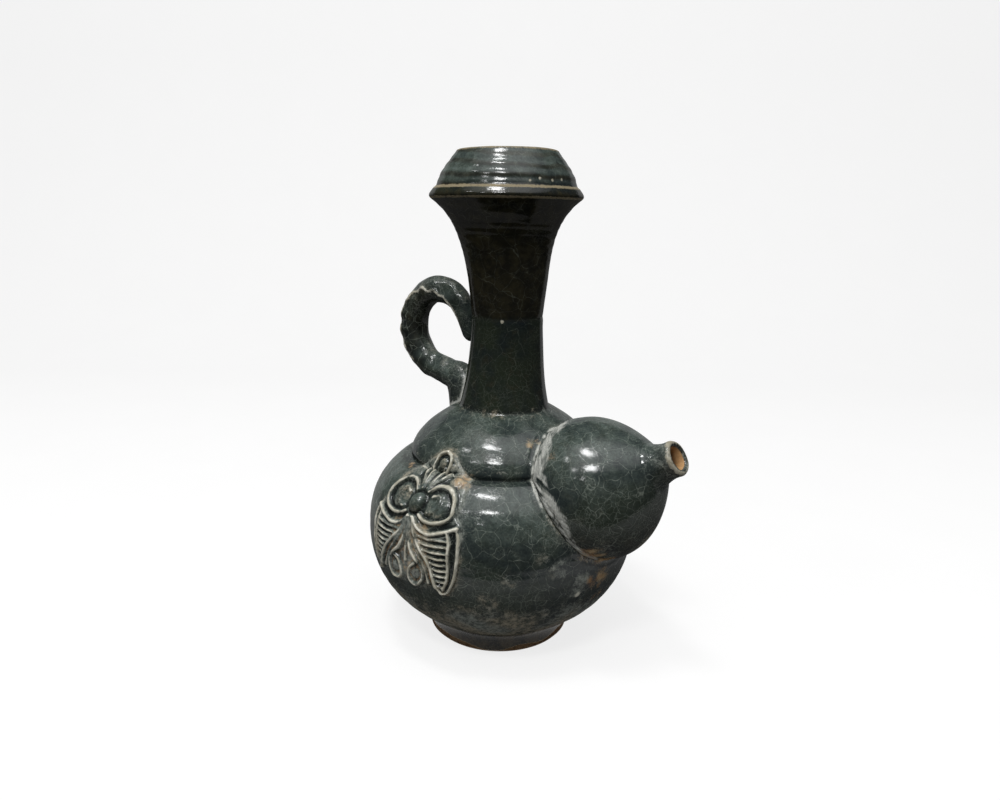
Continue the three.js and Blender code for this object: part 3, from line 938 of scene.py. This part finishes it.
pad_shares = [
    (0, 1.02), (0.15, 1.0), (0.28, 0.94), (0.46, 0.86), (0.66, 0.8), (0.77, 0.7), (0.8, 0.6), (0.93, 0.55),
    (0.98, 0.44), (0.99, 0.32), (0.98, 0.18), (0.92, 0.06), (0.82, -0.02), (0.72, -0.03), (0.62, 0.04),
    (0.5, 0.02), (0.3, -0.02), (0.12, -0.01), (0, 0.04),
]
leaf_rim_shares = [(0.74, 0.48), (0.79, 0.41), (0.815, 0.31), (0.82, 0.2), (0.8, 0.1), (0.76, 0.04)]
leaf_stem_shares = [
    (0.05, 0.54), (0.18, 0.41), (0.33, 0.33), (0.47, 0.25), (0.57, 0.15), (0.65, 0.04), (0.72, 0),
]
sprig_strokes = [
    # width and height as shares of a ridge's, then the line: head, brow, petal, leaf, stems and curl
    (0.8, 0.95, [(0.03, 0.71), (0.09, 0.8), (0.155, 0.89), (0.12, 0.96), (0, 0.99)]),
    (0.6, 0.5, [(0.0, 0.74), (0.045, 0.81), (0.07, 0.87)]),
    (0.85, 0.85, [(0.05, 0.71), (0.16, 0.79), (0.3, 0.84), (0.46, 0.84)]),
    (1.0, 1.05, [
        (0.11, 0.71), (0.24, 0.755), (0.43, 0.755), (0.6, 0.71), (0.68, 0.65), (0.69, 0.59), (0.6, 0.55),
        (0.43, 0.53), (0.25, 0.54), (0.12, 0.57),
    ]),
    (1.1, 0.7, [(0.25, 0.69), (0.36, 0.7), (0.42, 0.65), (0.38, 0.6), (0.27, 0.585)]),
    (1.1, 1.15, [(0.06, 0.54), (0.2, 0.475), (0.4, 0.45), (0.6, 0.47), (0.76, 0.5), (0.86, 0.52)]),
    (0.6, 0.6, [(0.15, 0.455), (0.34, 0.415), (0.56, 0.43), (0.77, 0.46)]),
    (0.7, 0.8, [
        (0.86, 0.52), (0.92, 0.45), (0.945, 0.33), (0.94, 0.2), (0.89, 0.09), (0.82, 0.015), (0.74, -0.005),
    ]),
    (0.85, 1.1, leaf_rim_shares),
    (1.1, 1.25, leaf_stem_shares),
    (0.9, 0.9, [(0.05, 0.5), (0.16, 0.38), (0.3, 0.28), (0.42, 0.18), (0.5, 0.07)]),
    (1.15, 1.2, [(0.02, 0.56), (0.03, 0.46), (0.07, 0.37), (0.13, 0.3), (0.21, 0.255), (0.28, 0.22)]),
    (1.0, 1.0, [
        (0.28, 0.22), (0.36, 0.17), (0.37, 0.09), (0.29, 0.03), (0.17, 0.02), (0.09, 0.07), (0.1, 0.14),
        (0.18, 0.19), (0.28, 0.22),
    ]),
    (0.8, 0.8, [(0, 0.55), (0, 0.35), (0, 0.2)]),
]
petal_share = (0.4, 0.645)
sprig_domes = [
    # place, radius and height
    ((0, 0.905), 2.0, 1.0),
    (petal_share, 4.8, 0.7),
    ((0.23, 0.11), 2.6, 1.2),
    ((0.13, 0.33), 1.5, 0.8),
    ((0.42, 0.8), 2.4, 0.6),
    ((0.2, 0.88), 1.8, 0.5),
    ((0.24, 0.37), 1.7, 0.7),
]
boss_share = (0, 0.635)
boss_radius = 3.8
boss_height = 2.9
rib_count = 9
rib_top_share = 0.415
rib_bottom_share = 0.055
rib_width = 0.72
rib_height = 0.95
ridge_width = 1.02
ridge_height = 1.6
pad_height = 0.7
pad_slope = 1.3
buried = 0.7
backing = 1.5
askew_reach = 0.28
stroke_step = 0.6
rib_end_step = 0.3
lean_shares = [0, 0.2, 0.45, 0.62, 0.9, 1.02]
sprig_leans = [-1.7, -1.2, -0.9, -0.8, 1.3, 1.7]


def sprig_place(shares):
    return np.array([(across * sprig_half_width, sprig_bottom + up * sprig_height) for across, up in shares])


def sprig_lean(height):
    """How far the sprig's middle line stands off the jug's, as it was pressed on a little askew."""
    return np.interp((height - sprig_bottom) / sprig_height, lean_shares, sprig_leans)


def far_from_line(places, line):
    """Distance of each place from a line of straight stretches."""
    nearest = np.full(places.shape[:-1], np.inf)
    for a, b in zip(line, line[1:]):
        stretch = b - a
        if stretch @ stretch == 0:
            continue
        share = np.clip((places - a) @ stretch / (stretch @ stretch), 0, 1)
        nearest = np.minimum(nearest, np.linalg.norm(places - a - share[..., None] * stretch, axis=-1))
    return nearest


def inside_outline(places, outline):
    crossings = np.zeros(places.shape[:-1], int)
    for a, b in zip(outline, np.roll(outline, -1, axis=0)):
        spans = (a[1] > places[..., 1]) != (b[1] > places[..., 1])
        rise = np.where(b[1] == a[1], 1, b[1] - a[1])
        crossing = a[0] + (places[..., 1] - a[1]) * (b[0] - a[0]) / rise
        crossings += spans & (places[..., 0] < crossing)
    return crossings % 2 == 1


def pad_distance(places):
    """Distance inside the pad's edge, below zero outside it; the pad is the same on both halves."""
    half = spline(sprig_place(pad_shares), 1.5)
    outline = np.vstack([half, half[::-1] * (-1, 1)])
    edge = far_from_line(places, np.vstack([outline, outline[:1]]))
    return np.where(inside_outline(places, outline), edge, -edge)


def sprig_dust(places):
    """Dust gathered on the pot round each sprig."""
    total = np.zeros(len(places))
    for facing in (-1, 1):
        near = (places[:, 1] * facing > 0) & (np.abs(places[:, 0]) < 1.4 * sprig_half_width)
        near &= places[:, 2] > sprig_bottom - 8
        height = places[near, 2]
        across = np.abs(-facing * places[near, 0] - sprig_lean(height))
        outside = -pad_distance(np.c_[across, height])
        total[near] = np.where(outside > 0, np.exp(-outside / 2.6), 1)
    return total


def raised_lines():
    """Every raised line of one half: its points, half width and height, the leaf's ribs last."""
    lines = [(spline(sprig_place(shares), stroke_step), width * ridge_width, height * ridge_height)
             for width, height, shares in sprig_strokes]
    stem = spline(sprig_place(leaf_stem_shares), rib_end_step)[::-1]
    rim = spline(sprig_place(leaf_rim_shares), rib_end_step)[::-1]
    for up in np.linspace(rib_top_share, rib_bottom_share, rib_count):
        height = sprig_bottom + up * sprig_height
        near = radius_at(stem, height) + 0.9
        far = radius_at(rim, height + 0.6) - 0.5
        rib = np.array([(near, height + 0.4), ((near + far) / 2, height), (far, height + 0.3)])
        lines.append((rib, rib_width * ridge_width, rib_height * ridge_height))
    return lines


def sprig_relief(across, up):
    """Height of the sprig over the pot's surface, and how far each place is a crest or a hollow."""
    askew = np.stack([across, up, 0 * up], -1)
    nudge = askew_reach * lattice_noise(askew, 5, 41)
    lifted = askew_reach * lattice_noise(askew, 5, 42)
    places = np.stack([np.abs(across + nudge), up + lifted], -1)
    inside = pad_distance(places)
    base = mix(-buried, pad_height, smooth(-0.9, pad_slope, inside))
    relief = np.zeros_like(base)
    for line, width, height in raised_lines():
        near = np.all((places > line.min(0) - width) & (places < line.max(0) + width), axis=-1)
        distance = far_from_line(places[near], line)
        rise = height * np.clip(1 - (distance / width) ** 2, 0, 1) ** 0.75
        relief[near] = np.maximum(relief[near], rise)
    for share, radius, height in sprig_domes:
        distance = np.linalg.norm(places - sprig_place([share])[0], axis=-1) / radius
        dome = height * np.sqrt(np.clip(1 - distance**2, 0, 1))
        relief = np.maximum(relief, dome) + 0.25 * np.minimum(relief, dome)
    relief = relief * (1 + 0.22 * lattice_noise(askew, 3.5, 43))
    boss = np.linalg.norm(places - sprig_place([boss_share])[0], axis=-1) / boss_radius
    relief = np.maximum(relief * smooth(1.0, 1.3, boss), boss_height * np.sqrt(np.clip(1 - boss**2, 0, 1)))
    pressed = smooth(0.55, 0.85, -across / sprig_half_width)
    pressed = pressed * smooth(sprig_bottom + 0.4 * sprig_height, sprig_bottom, up)
    raw = base + relief * (1 - 0.65 * pressed) * smooth(-0.5, 0.4, inside)
    soft, wide = [blurred(blurred(raw, spread / sprig_step, 0), spread / sprig_step, 1)
                  for spread in (sprig_softness, sprig_spread)]
    crest = smooth(0.18, 0.6, soft - wide) * smooth(0.85, 1.1, boss)
    hollow = smooth(0.05, 0.4, wide - soft) * (inside > 0)
    return soft, crest, hollow, inside


def sprig_piece(name, node, facing, glaze):
    reach = 1.05 * sprig_half_width + sprig_margin
    columns = int(2 * reach / sprig_step)
    low = sprig_bottom - 0.03 * sprig_height - sprig_margin
    high = sprig_bottom + 1.02 * sprig_height + sprig_margin
    surface = respaced(jug_line[(jug_line[:, 1] > low) & (jug_line[:, 1] < high)], sprig_step)
    out = line_normals(surface)
    rows = len(surface)
    radius, height = surface[:, :1], surface[:, 1:]
    across = np.broadcast_to(np.linspace(-reach, reach, columns), (rows, columns))
    up = np.broadcast_to(height, across.shape)
    angle = np.arcsin(np.clip((across + sprig_lean(height)) / radius, -1, 1))
    around = np.arctan2(facing * np.cos(angle), -facing * np.sin(angle))
    soft, crest, hollow, inside = sprig_relief(across, up)
    marks = hand_marks(around, up)

    def laid(rise):
        points = round_axis(radius + rise * out[:, :1], around, height)
        points[..., 2] += rise * out[:, 1:]
        return points.reshape(-1, 3)

    points = np.vstack([laid(marks + soft), laid(marks - backing)])
    upper = sheet_faces(rows, columns, False, False)
    grid = np.arange(rows * columns).reshape(rows, columns)
    border = np.concatenate([grid[0, :-1], grid[:-1, -1], grid[-1, :0:-1], grid[:0:-1, 0]])
    following = np.roll(border, -1)
    offset = rows * columns
    walls = np.stack([border + offset, following + offset, following, border], -1)
    faces = np.vstack([upper, upper[:, ::-1] + offset, walls])

    def on_top(values):
        return np.r_[values.ravel(), np.zeros(offset)]

    # Tan soil lies between the stems; the petals and the boss keep their gloss
    grainy = lattice_noise(points, 1.3, 17)
    patchy = lattice_noise(points, 6, 18)
    edge_dust = smooth(1.6, -0.6, inside)
    side_share = np.abs(across) / sprig_half_width
    up_share = (height - sprig_bottom) / sprig_height
    stems = smooth(0.58, 0.4, side_share + 0.5 * (up_share - 0.3)) * smooth(0.56, 0.48, up_share)
    petal, boss = [np.hypot(side_share - share[0], 1.9 * (up_share - share[1]))
                   for share in (petal_share, boss_share)]
    glossy = on_top(np.maximum(smooth(0.3, 0.2, petal), 1.4 * smooth(0.24, 0.2, boss)))
    soil = on_top(hollow * stems)
    # Painted shade in the hollows away from the stems
    pool_and_shade = on_top(hollow * (1 - 0.75 * stems))
    paint = {
        "worn": on_top(crest) * (1.08 + 0.55 * grainy + 0.45 * patchy),
        "pool_and_shade": pool_and_shade,
        "dust_and_sheen": 0.94 + 0.45 * patchy + 0.3 * on_top(edge_dust) - pool_and_shade - 0.42 * glossy,
        "olive": 0.2,
        "ochre": np.maximum(spots(points, ochre_spots), 0.55 * soil) * (0.8 + 0.4 * grainy),
        "veil_and_sheen": 1.0,
    }
    mesh_piece(name, node, glaze, points, faces, paint, sharp=80)


# Materials


def colour(red, green, blue):
    """A display colour from 0 to 255, as the linear colour that a socket holds."""
    parts = [part / 255 for part in (red, green, blue)]
    linear = [part / 12.92 if part <= 0.04045 else ((part + 0.055) / 1.055) ** 2.4 for part in parts]
    return (*linear, 1.0)


class Shader:
    """A material's nodes, added one by one."""

    def __init__(self, name):
        self.material = bpy.data.materials.new(name)
        self.material.use_nodes = True
        self.tree = self.material.node_tree
        self.tree.nodes.clear()

    def add(self, kind, inputs=(), **settings):
        node = self.tree.nodes.new(kind)
        for key, value in settings.items():
            setattr(node, key, value)
        for socket, value in dict(inputs).items():
            self.feed(node.inputs[socket], value)
        return node

    def feed(self, socket, value):
        if isinstance(value, bpy.types.NodeSocket):
            self.tree.links.new(value, socket)
        else:
            socket.default_value = value

    def math(self, operation, first, *others, clamp=False):
        """An operation on two or more values, worked from the left."""
        for other in others:
            inputs = {0: first, 1: other}
            first = self.add("ShaderNodeMath", inputs, operation=operation, use_clamp=clamp).outputs[0]
        return first

    def times(self, *values):
        return self.math("MULTIPLY", *values)

    def plus(self, *values, clamp=False):
        return self.math("ADD", *values, clamp=clamp)

    def minus(self, first, second):
        return self.math("SUBTRACT", first, second)

    def most(self, *values):
        return self.math("MAXIMUM", *values)

    def ramp(self, value, low, high, to_low=0.0, to_high=1.0):
        """A soft step of a value between two edges."""
        inputs = {0: value, 1: low, 2: high, 3: to_low, 4: to_high}
        return self.add("ShaderNodeMapRange", inputs, interpolation_type="SMOOTHSTEP").outputs[0]

    def blend(self, share, *colours):
        """A colour between two, each of them a socket or a display colour."""
        node = self.add("ShaderNodeMix", {0: share}, data_type="RGBA")
        for place, value in zip((6, 7), colours):
            self.feed(node.inputs[place], colour(*value) if isinstance(value, tuple) else value)
        return node.outputs[2]

    def mark(self, name):
        return self.add("ShaderNodeAttribute", attribute_name=name).outputs["Fac"]

    def noise(self, place, scale, detail=3.0, roughness=0.55):
        inputs = {"Vector": place, "Scale": scale, "Detail": detail, "Roughness": roughness}
        return self.add("ShaderNodeTexNoise", inputs).outputs[0]

    def cracks(self, place, scale, width):
        """Thin lines between cells of about 1/scale millimetres."""
        inputs = {"Vector": place, "Scale": scale}
        cells = self.add("ShaderNodeTexVoronoi", inputs, feature="DISTANCE_TO_EDGE")
        return self.ramp(cells.outputs["Distance"], 0.0, width, 1.0, 0.0)

    def bump(self, height, strength):
        inputs = {"Height": height, "Distance": MM, "Strength": strength}
        return self.add("ShaderNodeBump", inputs).outputs[0]

    def finish(self, kind, inputs):
        """The material, with a last shader of the given kind as its surface."""
        self.add("ShaderNodeOutputMaterial", {"Surface": self.add(kind, inputs).outputs[0]})
        return self.material


def millimetres(shader):
    """The place on the object in millimetres, and the same place pushed about a little."""
    coordinates = shader.add("ShaderNodeTexCoord").outputs["Object"]
    scale = {"Vector": coordinates, "Scale": (1000.0, 1000.0, 1000.0)}
    place = shader.add("ShaderNodeMapping", scale).outputs[0]
    push = shader.add("ShaderNodeTexNoise", {"Vector": place, "Scale": 0.09, "Detail": 2.0}).outputs[1]
    middle = {0: push, 1: (0.5, 0.5, 0.5)}
    centred = shader.add("ShaderNodeVectorMath", middle, operation="SUBTRACT").outputs[0]
    scaled = shader.add("ShaderNodeVectorMath", {0: centred, 3: 8.0}, operation="SCALE").outputs[0]
    pushed = shader.add("ShaderNodeVectorMath", {0: place, 1: scaled}, operation="ADD").outputs[0]
    return place, pushed


def glaze_material():
    s = Shader("dark_crackled_glaze")
    place, pushed = millimetres(s)
    broad = s.noise(place, 0.045)
    middle = s.noise(place, 0.22, 4.0)
    fine = s.noise(place, 1.1, 5.0, 0.65)
    grit = s.noise(place, 3.2, 3.0, 0.7)
    rubbed = s.noise(place, 0.5, 6.0, 0.75)
    dust_and_sheen = s.mark("dust_and_sheen")
    veil_and_sheen = s.mark("veil_and_sheen")
    pool_and_shade = s.mark("pool_and_shade")
    banded = s.mark("banded")
    bore = s.mark("bore")
    normal = s.add("ShaderNodeNewGeometry").outputs["Normal"]
    upward = s.add("ShaderNodeSeparateXYZ", {"Vector": normal}).outputs["Z"]

    # Glaze colour: blue-black to green, olive brown where it lies thin
    green = s.blend(s.ramp(broad, 0.38, 0.62), (20, 28, 31), (34, 41, 29))
    mottled = s.blend(s.times(s.ramp(fine, 0.42, 0.72), 0.35), green, (50, 60, 53))
    olive = s.blend(s.ramp(middle, 0.35, 0.7), (24, 23, 16), (44, 41, 27))
    olive_share = s.plus(s.mark("olive"), s.ramp(middle, 0.5, 0.7, 0.0, 0.45), clamp=True)
    tone = s.blend(olive_share, mottled, olive)

    # A bluish veil of fine wear and a painted sheen of the light from above, thickest on whatever faces up
    veil_and_sheen_thickness = s.times(
        s.ramp(upward, -0.1, 0.85, 0.22, 1.0),
        s.ramp(fine, 0.3, 0.68, 0.62, 1.14),
        s.ramp(middle, 0.3, 0.7, 0.5, 1.25),
        s.ramp(broad, 0.35, 0.65, 0.7, 1.1),
    )
    veiled_and_sheened = s.blend(s.times(veil_and_sheen_thickness, veil_and_sheen), tone, (86, 97, 92))
    # Near-black where the glaze pooled in joints and cracks, and painted shade in grooves, creases, hollows,
    # the bore and the handle's inner loop
    pooled_and_shaded = s.blend(s.times(pool_and_shade, 0.85), veiled_and_sheened, (11, 15, 17))

    # Crackle: a wide net with finer nets inside it, all of them coming and going
    net_wide = s.times(s.cracks(pushed, 0.15, 0.02), s.ramp(middle, 0.34, 0.56, 0.25, 1.0))
    net_mid = s.times(s.cracks(pushed, 0.37, 0.04), s.ramp(broad, 0.42, 0.6))
    net_fine = s.times(s.cracks(place, 0.9, 0.085), s.ramp(s.noise(place, 0.1), 0.52, 0.68))
    thread_wave = s.math("ABSOLUTE", s.minus(s.noise(pushed, 0.16, 2.0), 0.5), 0.0)
    threads = s.times(s.ramp(thread_wave, 0.0, 0.008, 1.0, 0.0), s.ramp(middle, 0.54, 0.66))
    net = s.most(net_wide, s.times(s.most(net_mid, net_fine), 0.7), s.times(threads, 0.6))
    net = s.times(net, s.ramp(fine, 0.3, 0.6, 0.3, 1.0), s.ramp(veil_and_sheen, 0.0, 0.5, 0.14, 0.46))
    lined = s.blend(s.times(net, s.ramp(banded, 0.0, 1.0, 1.0, 0.3)), pooled_and_shaded, (160, 168, 156))

    # Dust and scuffs, patchy at every scale; on the handle's upper faces part of this pale film is painted
    # sheen
    dust_and_sheen_depth = s.plus(s.times(dust_and_sheen, 0.75), s.times(fine, 0.75), s.times(net, 0.22), s.times(grit, 0.3))
    dust_and_sheen_cover = s.times(s.ramp(dust_and_sheen_depth, 0.84, 1.28), s.ramp(rubbed, 0.38, 0.62, 0.2, 1.0))
    scuffs = s.times(s.ramp(rubbed, 0.58, 0.74), s.ramp(dust_and_sheen, 0.1, 0.6, 0.12, 1.0), 0.56)
    specks = s.times(s.ramp(grit, 0.64, 0.74), s.ramp(dust_and_sheen, 0.0, 0.5, 0.25, 1.0), 0.4)
    film = s.most(dust_and_sheen_cover, scuffs, specks)
    dusty_and_sheened = s.blend(film, lined, s.blend(s.ramp(broad, 0.4, 0.6), (152, 157, 149), (168, 159, 140)))

    # Worn crests, slip smears, ochre soil, the raw clay of the bore and of bare places; deep in the bore the
    # clay gets painted shade
    ragged = s.minus(s.times(fine, 0.9), 0.45)
    worn = s.ramp(s.plus(s.mark("worn"), ragged), 0.3, 0.75)
    worn_colour = s.blend(s.ramp(middle, 0.35, 0.65), (190, 186, 168), (234, 231, 216))
    worn_colour = s.blend(banded, worn_colour, (146, 135, 110))
    crested = s.blend(s.times(worn, 0.86), dusty_and_sheened, worn_colour)
    slanted = {"Vector": place, "Rotation": (0.3, 0.9, 0.2), "Scale": (2.4, 0.35, 0.35)}
    streaky = s.noise(s.add("ShaderNodeMapping", slanted).outputs[0], 1.0, 5.0, 0.7)
    slip = s.ramp(s.plus(s.mark("slip"), s.times(s.minus(streaky, 0.5), 0.9)), 0.25, 0.8)
    slip_colour = s.blend(s.ramp(fine, 0.35, 0.65), (186, 189, 183), (224, 224, 216))
    smeared = s.blend(s.times(slip, 0.9), crested, slip_colour)
    ochre = s.ramp(s.plus(s.mark("ochre"), ragged), 0.2, 0.8)
    ochre_colour = s.blend(s.ramp(middle, 0.35, 0.65), (178, 138, 98), (206, 180, 142))
    stained = s.blend(s.times(ochre, 0.88), smeared, ochre_colour)
    bore_colour = s.blend(pool_and_shade, s.blend(fine, (170, 122, 76), (224, 188, 140)), (62, 40, 24))
    bored = s.blend(bore, stained, bore_colour)
    bare = s.ramp(s.mark("bare"), 0.35, 0.65)
    bared = s.blend(bare, bored, s.blend(fine, (84, 58, 40), (122, 92, 66)))

    # Gloss: a thin hard coat that whatever covers it takes away
    matt = s.most(bare, s.times(film, 0.6), slip, ochre, s.times(worn, 0.5), bore)
    shine = s.times(s.ramp(matt, 0.0, 1.0, 0.23, 0.04), s.ramp(upward, -0.4, 0.3, 0.16, 1.0))

    # Relief: pitted skin, sunken cracks, raised smears
    raised = s.plus(s.times(s.noise(place, 0.5), 0.05), s.times(fine, 0.018), s.times(matt, grit, 0.05))
    bump = s.bump(s.minus(raised, s.times(net, 0.025)), 1.0)
    return s.finish("ShaderNodeBsdfPrincipled", {
        "Base Color": bared,
        "Roughness": 0.6,
        "Normal": bump,
        "Specular IOR Level": 0.0,
        "Coat Weight": shine,
        "Coat Roughness": 0.12,
        "Coat IOR": 2.4,
        "Coat Normal": bump,
    })


def clay_material():
    """Bare clay low on the foot, with a pale line where the thin brown glaze above it ends."""
    s = Shader("bare_foot_clay")
    place, _ = millimetres(s)
    fine = s.noise(place, 0.9, 6.0, 0.7)
    middle = s.ramp(s.noise(place, 0.2, 4.0), 0.35, 0.65)
    grit = s.noise(place, 3.5)
    clay = s.blend(middle, (120, 88, 62), (164, 134, 102))
    clay = s.blend(s.ramp(fine, 0.5, 0.7), clay, (62, 46, 36))
    glaze = s.blend(middle, (17, 18, 17), (84, 75, 61))
    glaze = s.blend(s.ramp(fine, 0.45, 0.7, 0.0, 0.45), glaze, (118, 114, 100))
    bare = s.ramp(s.mark("bare"), 0.3, 0.7)
    edge = s.times(bare, s.minus(1.0, bare), 4.0, 0.85)
    both = s.blend(edge, s.blend(bare, glaze, clay), (202, 178, 142))
    height = s.minus(s.plus(s.times(fine, 0.09), s.times(grit, 0.04)), s.times(bare, 0.25))
    return s.finish("ShaderNodeBsdfPrincipled", {
        "Base Color": both,
        "Roughness": s.ramp(bare, 0.0, 1.0, 0.24, 0.8),
        "Normal": s.bump(height, 0.9),
        "Specular IOR Level": 0.2,
    })


def paper_material():
    """Pale matt paper, lifted towards white where the camera or a reflection sees it."""
    s = Shader("pale_paper")
    path = s.add("ShaderNodeLightPath").outputs
    seen = s.plus(path["Is Camera Ray"], path["Is Glossy Ray"], path["Is Transmission Ray"], clamp=True)
    place, _ = millimetres(s)
    tone = s.plus(s.times(s.noise(place, 0.02, 4.0), 0.03), 0.24)
    paper = s.add("ShaderNodeBsdfDiffuse", {"Color": tone}).outputs[0]
    glow = {"Color": (1, 1, 1, 1), "Strength": s.times(seen, paper_glow)}
    return s.finish("ShaderNodeAddShader", {0: paper, 1: s.add("ShaderNodeEmission", glow).outputs[0]})


# The stage, the light and the camera

# The photograph's camera, fitted in a frame whose y axis is the level line of sight
camera_place = Vector((0.77, -332.94, 192.14)) * MM
camera_pitch = math.radians(13.84)
camera_yaw = math.radians(-0.41)
camera_roll = math.radians(0.93)
focal_share = 0.74266

world_strength = 0.1
paper_glow = 0.8


lamps = [
    # azimuth, elevation and distance from the jug, then width, height and radiance
    ("outer_softbox", 0, 76, 0.92, 1.3, 1.1, 0.55),
    ("middle_softbox", 0, 76, 0.9, 0.95, 0.8, 0.55),
    ("inner_softbox", 0, 76, 0.88, 0.6, 0.5, 0.55),
    ("high_lamp", -38, 75, 1.6, 0.34, 0.17, 32),
    ("front_lamp", -13, 52, 1.6, 0.34, 0.18, 32),
    ("left_spot", -69, 54, 0.8, 0.045, 0.045, 30),
    ("middle_spot", -40, 46, 0.8, 0.045, 0.045, 26),
    ("low_spot", -18, 35, 0.8, 0.035, 0.035, 24),
]


def stage():
    """One sweep of pale paper, fanned out from the camera: the floor, a wide bend and the backdrop."""
    front, bend_start, bend_radius, height = -0.15, 0.55, 0.45, 0.66
    narrowest, widening = 0.04, 0.74
    turn = np.linspace(0, math.pi / 2, 24)
    bend = np.c_[bend_start + bend_radius * np.sin(turn), bend_radius * (1 - np.cos(turn))]
    line = np.vstack([(front, 0), bend, (bend_start + bend_radius, height)])
    swing = Matrix.Rotation(view_turn, 4, "Z")
    half = [narrowest + widening * (y - camera_place.y) for y, _ in line]
    corners = [swing @ Vector((across, y, z))
               for (y, z), reach in zip(line, half) for across in (-reach, reach)]
    faces = [(2 * i, 2 * i + 1, 2 * i + 3, 2 * i + 2) for i in range(len(line) - 1)]
    mesh = bpy.data.meshes.new("floor")
    mesh.from_pydata(corners, [], faces)
    mesh.shade_smooth()
    mesh.materials.append(paper_material())
    linked("floor", mesh)


def lamp(name, azimuth, elevation, distance, width, height, radiance):
    """A soft rectangular lamp that faces the jug; azimuth 0 is the camera's side, right is positive."""
    light = bpy.data.lights.new(name, "AREA")
    light.shape = "RECTANGLE"
    light.size, light.size_y = width, height
    light.energy = radiance * math.pi * width * height
    linked(name, light).matrix_world = (
        Matrix.Translation((0, 0, widest_height * MM))
        @ Matrix.Rotation(math.radians(azimuth) + view_turn, 4, "Z")
        @ Matrix.Rotation(math.radians(90 - elevation), 4, "X")
        @ Matrix.Translation((0, 0, distance))
    )


def lights():
    world = bpy.data.worlds.new("studio")
    bpy.context.scene.world = world
    world.use_nodes = True
    background = world.node_tree.nodes["Background"].inputs
    background["Color"].default_value = (1, 1, 1, 1)
    background["Strength"].default_value = world_strength
    for row in lamps:
        lamp(*row)


def camera():
    data = bpy.data.cameras.new("camera")
    data.sensor_width = 36
    data.lens = focal_share * data.sensor_width
    data.clip_start = 0.01
    holder = linked("camera", data)
    holder.matrix_world = (
        Matrix.Rotation(view_turn, 4, "Z")
        @ Matrix.Translation(camera_place)
        @ Matrix.Rotation(-camera_yaw, 4, "Z")
        @ Matrix.Rotation(math.pi / 2 - camera_pitch, 4, "X")
        @ Matrix.Rotation(camera_roll, 4, "Z")
    )
    bpy.context.scene.camera = holder


glaze = glaze_material()
foot_piece()
body_pieces(glaze)
neck_pieces(glaze)
bulb_piece(glaze)
nozzle_piece(glaze)
handle_piece(glaze)
sprig_piece("front_sprig_glazed", "front_sprig", -1, glaze)
sprig_piece("back_sprig_glazed", "back_sprig", 1, glaze)
stage()
lights()
camera()
bpy.context.scene.view_settings.view_transform = "Standard"
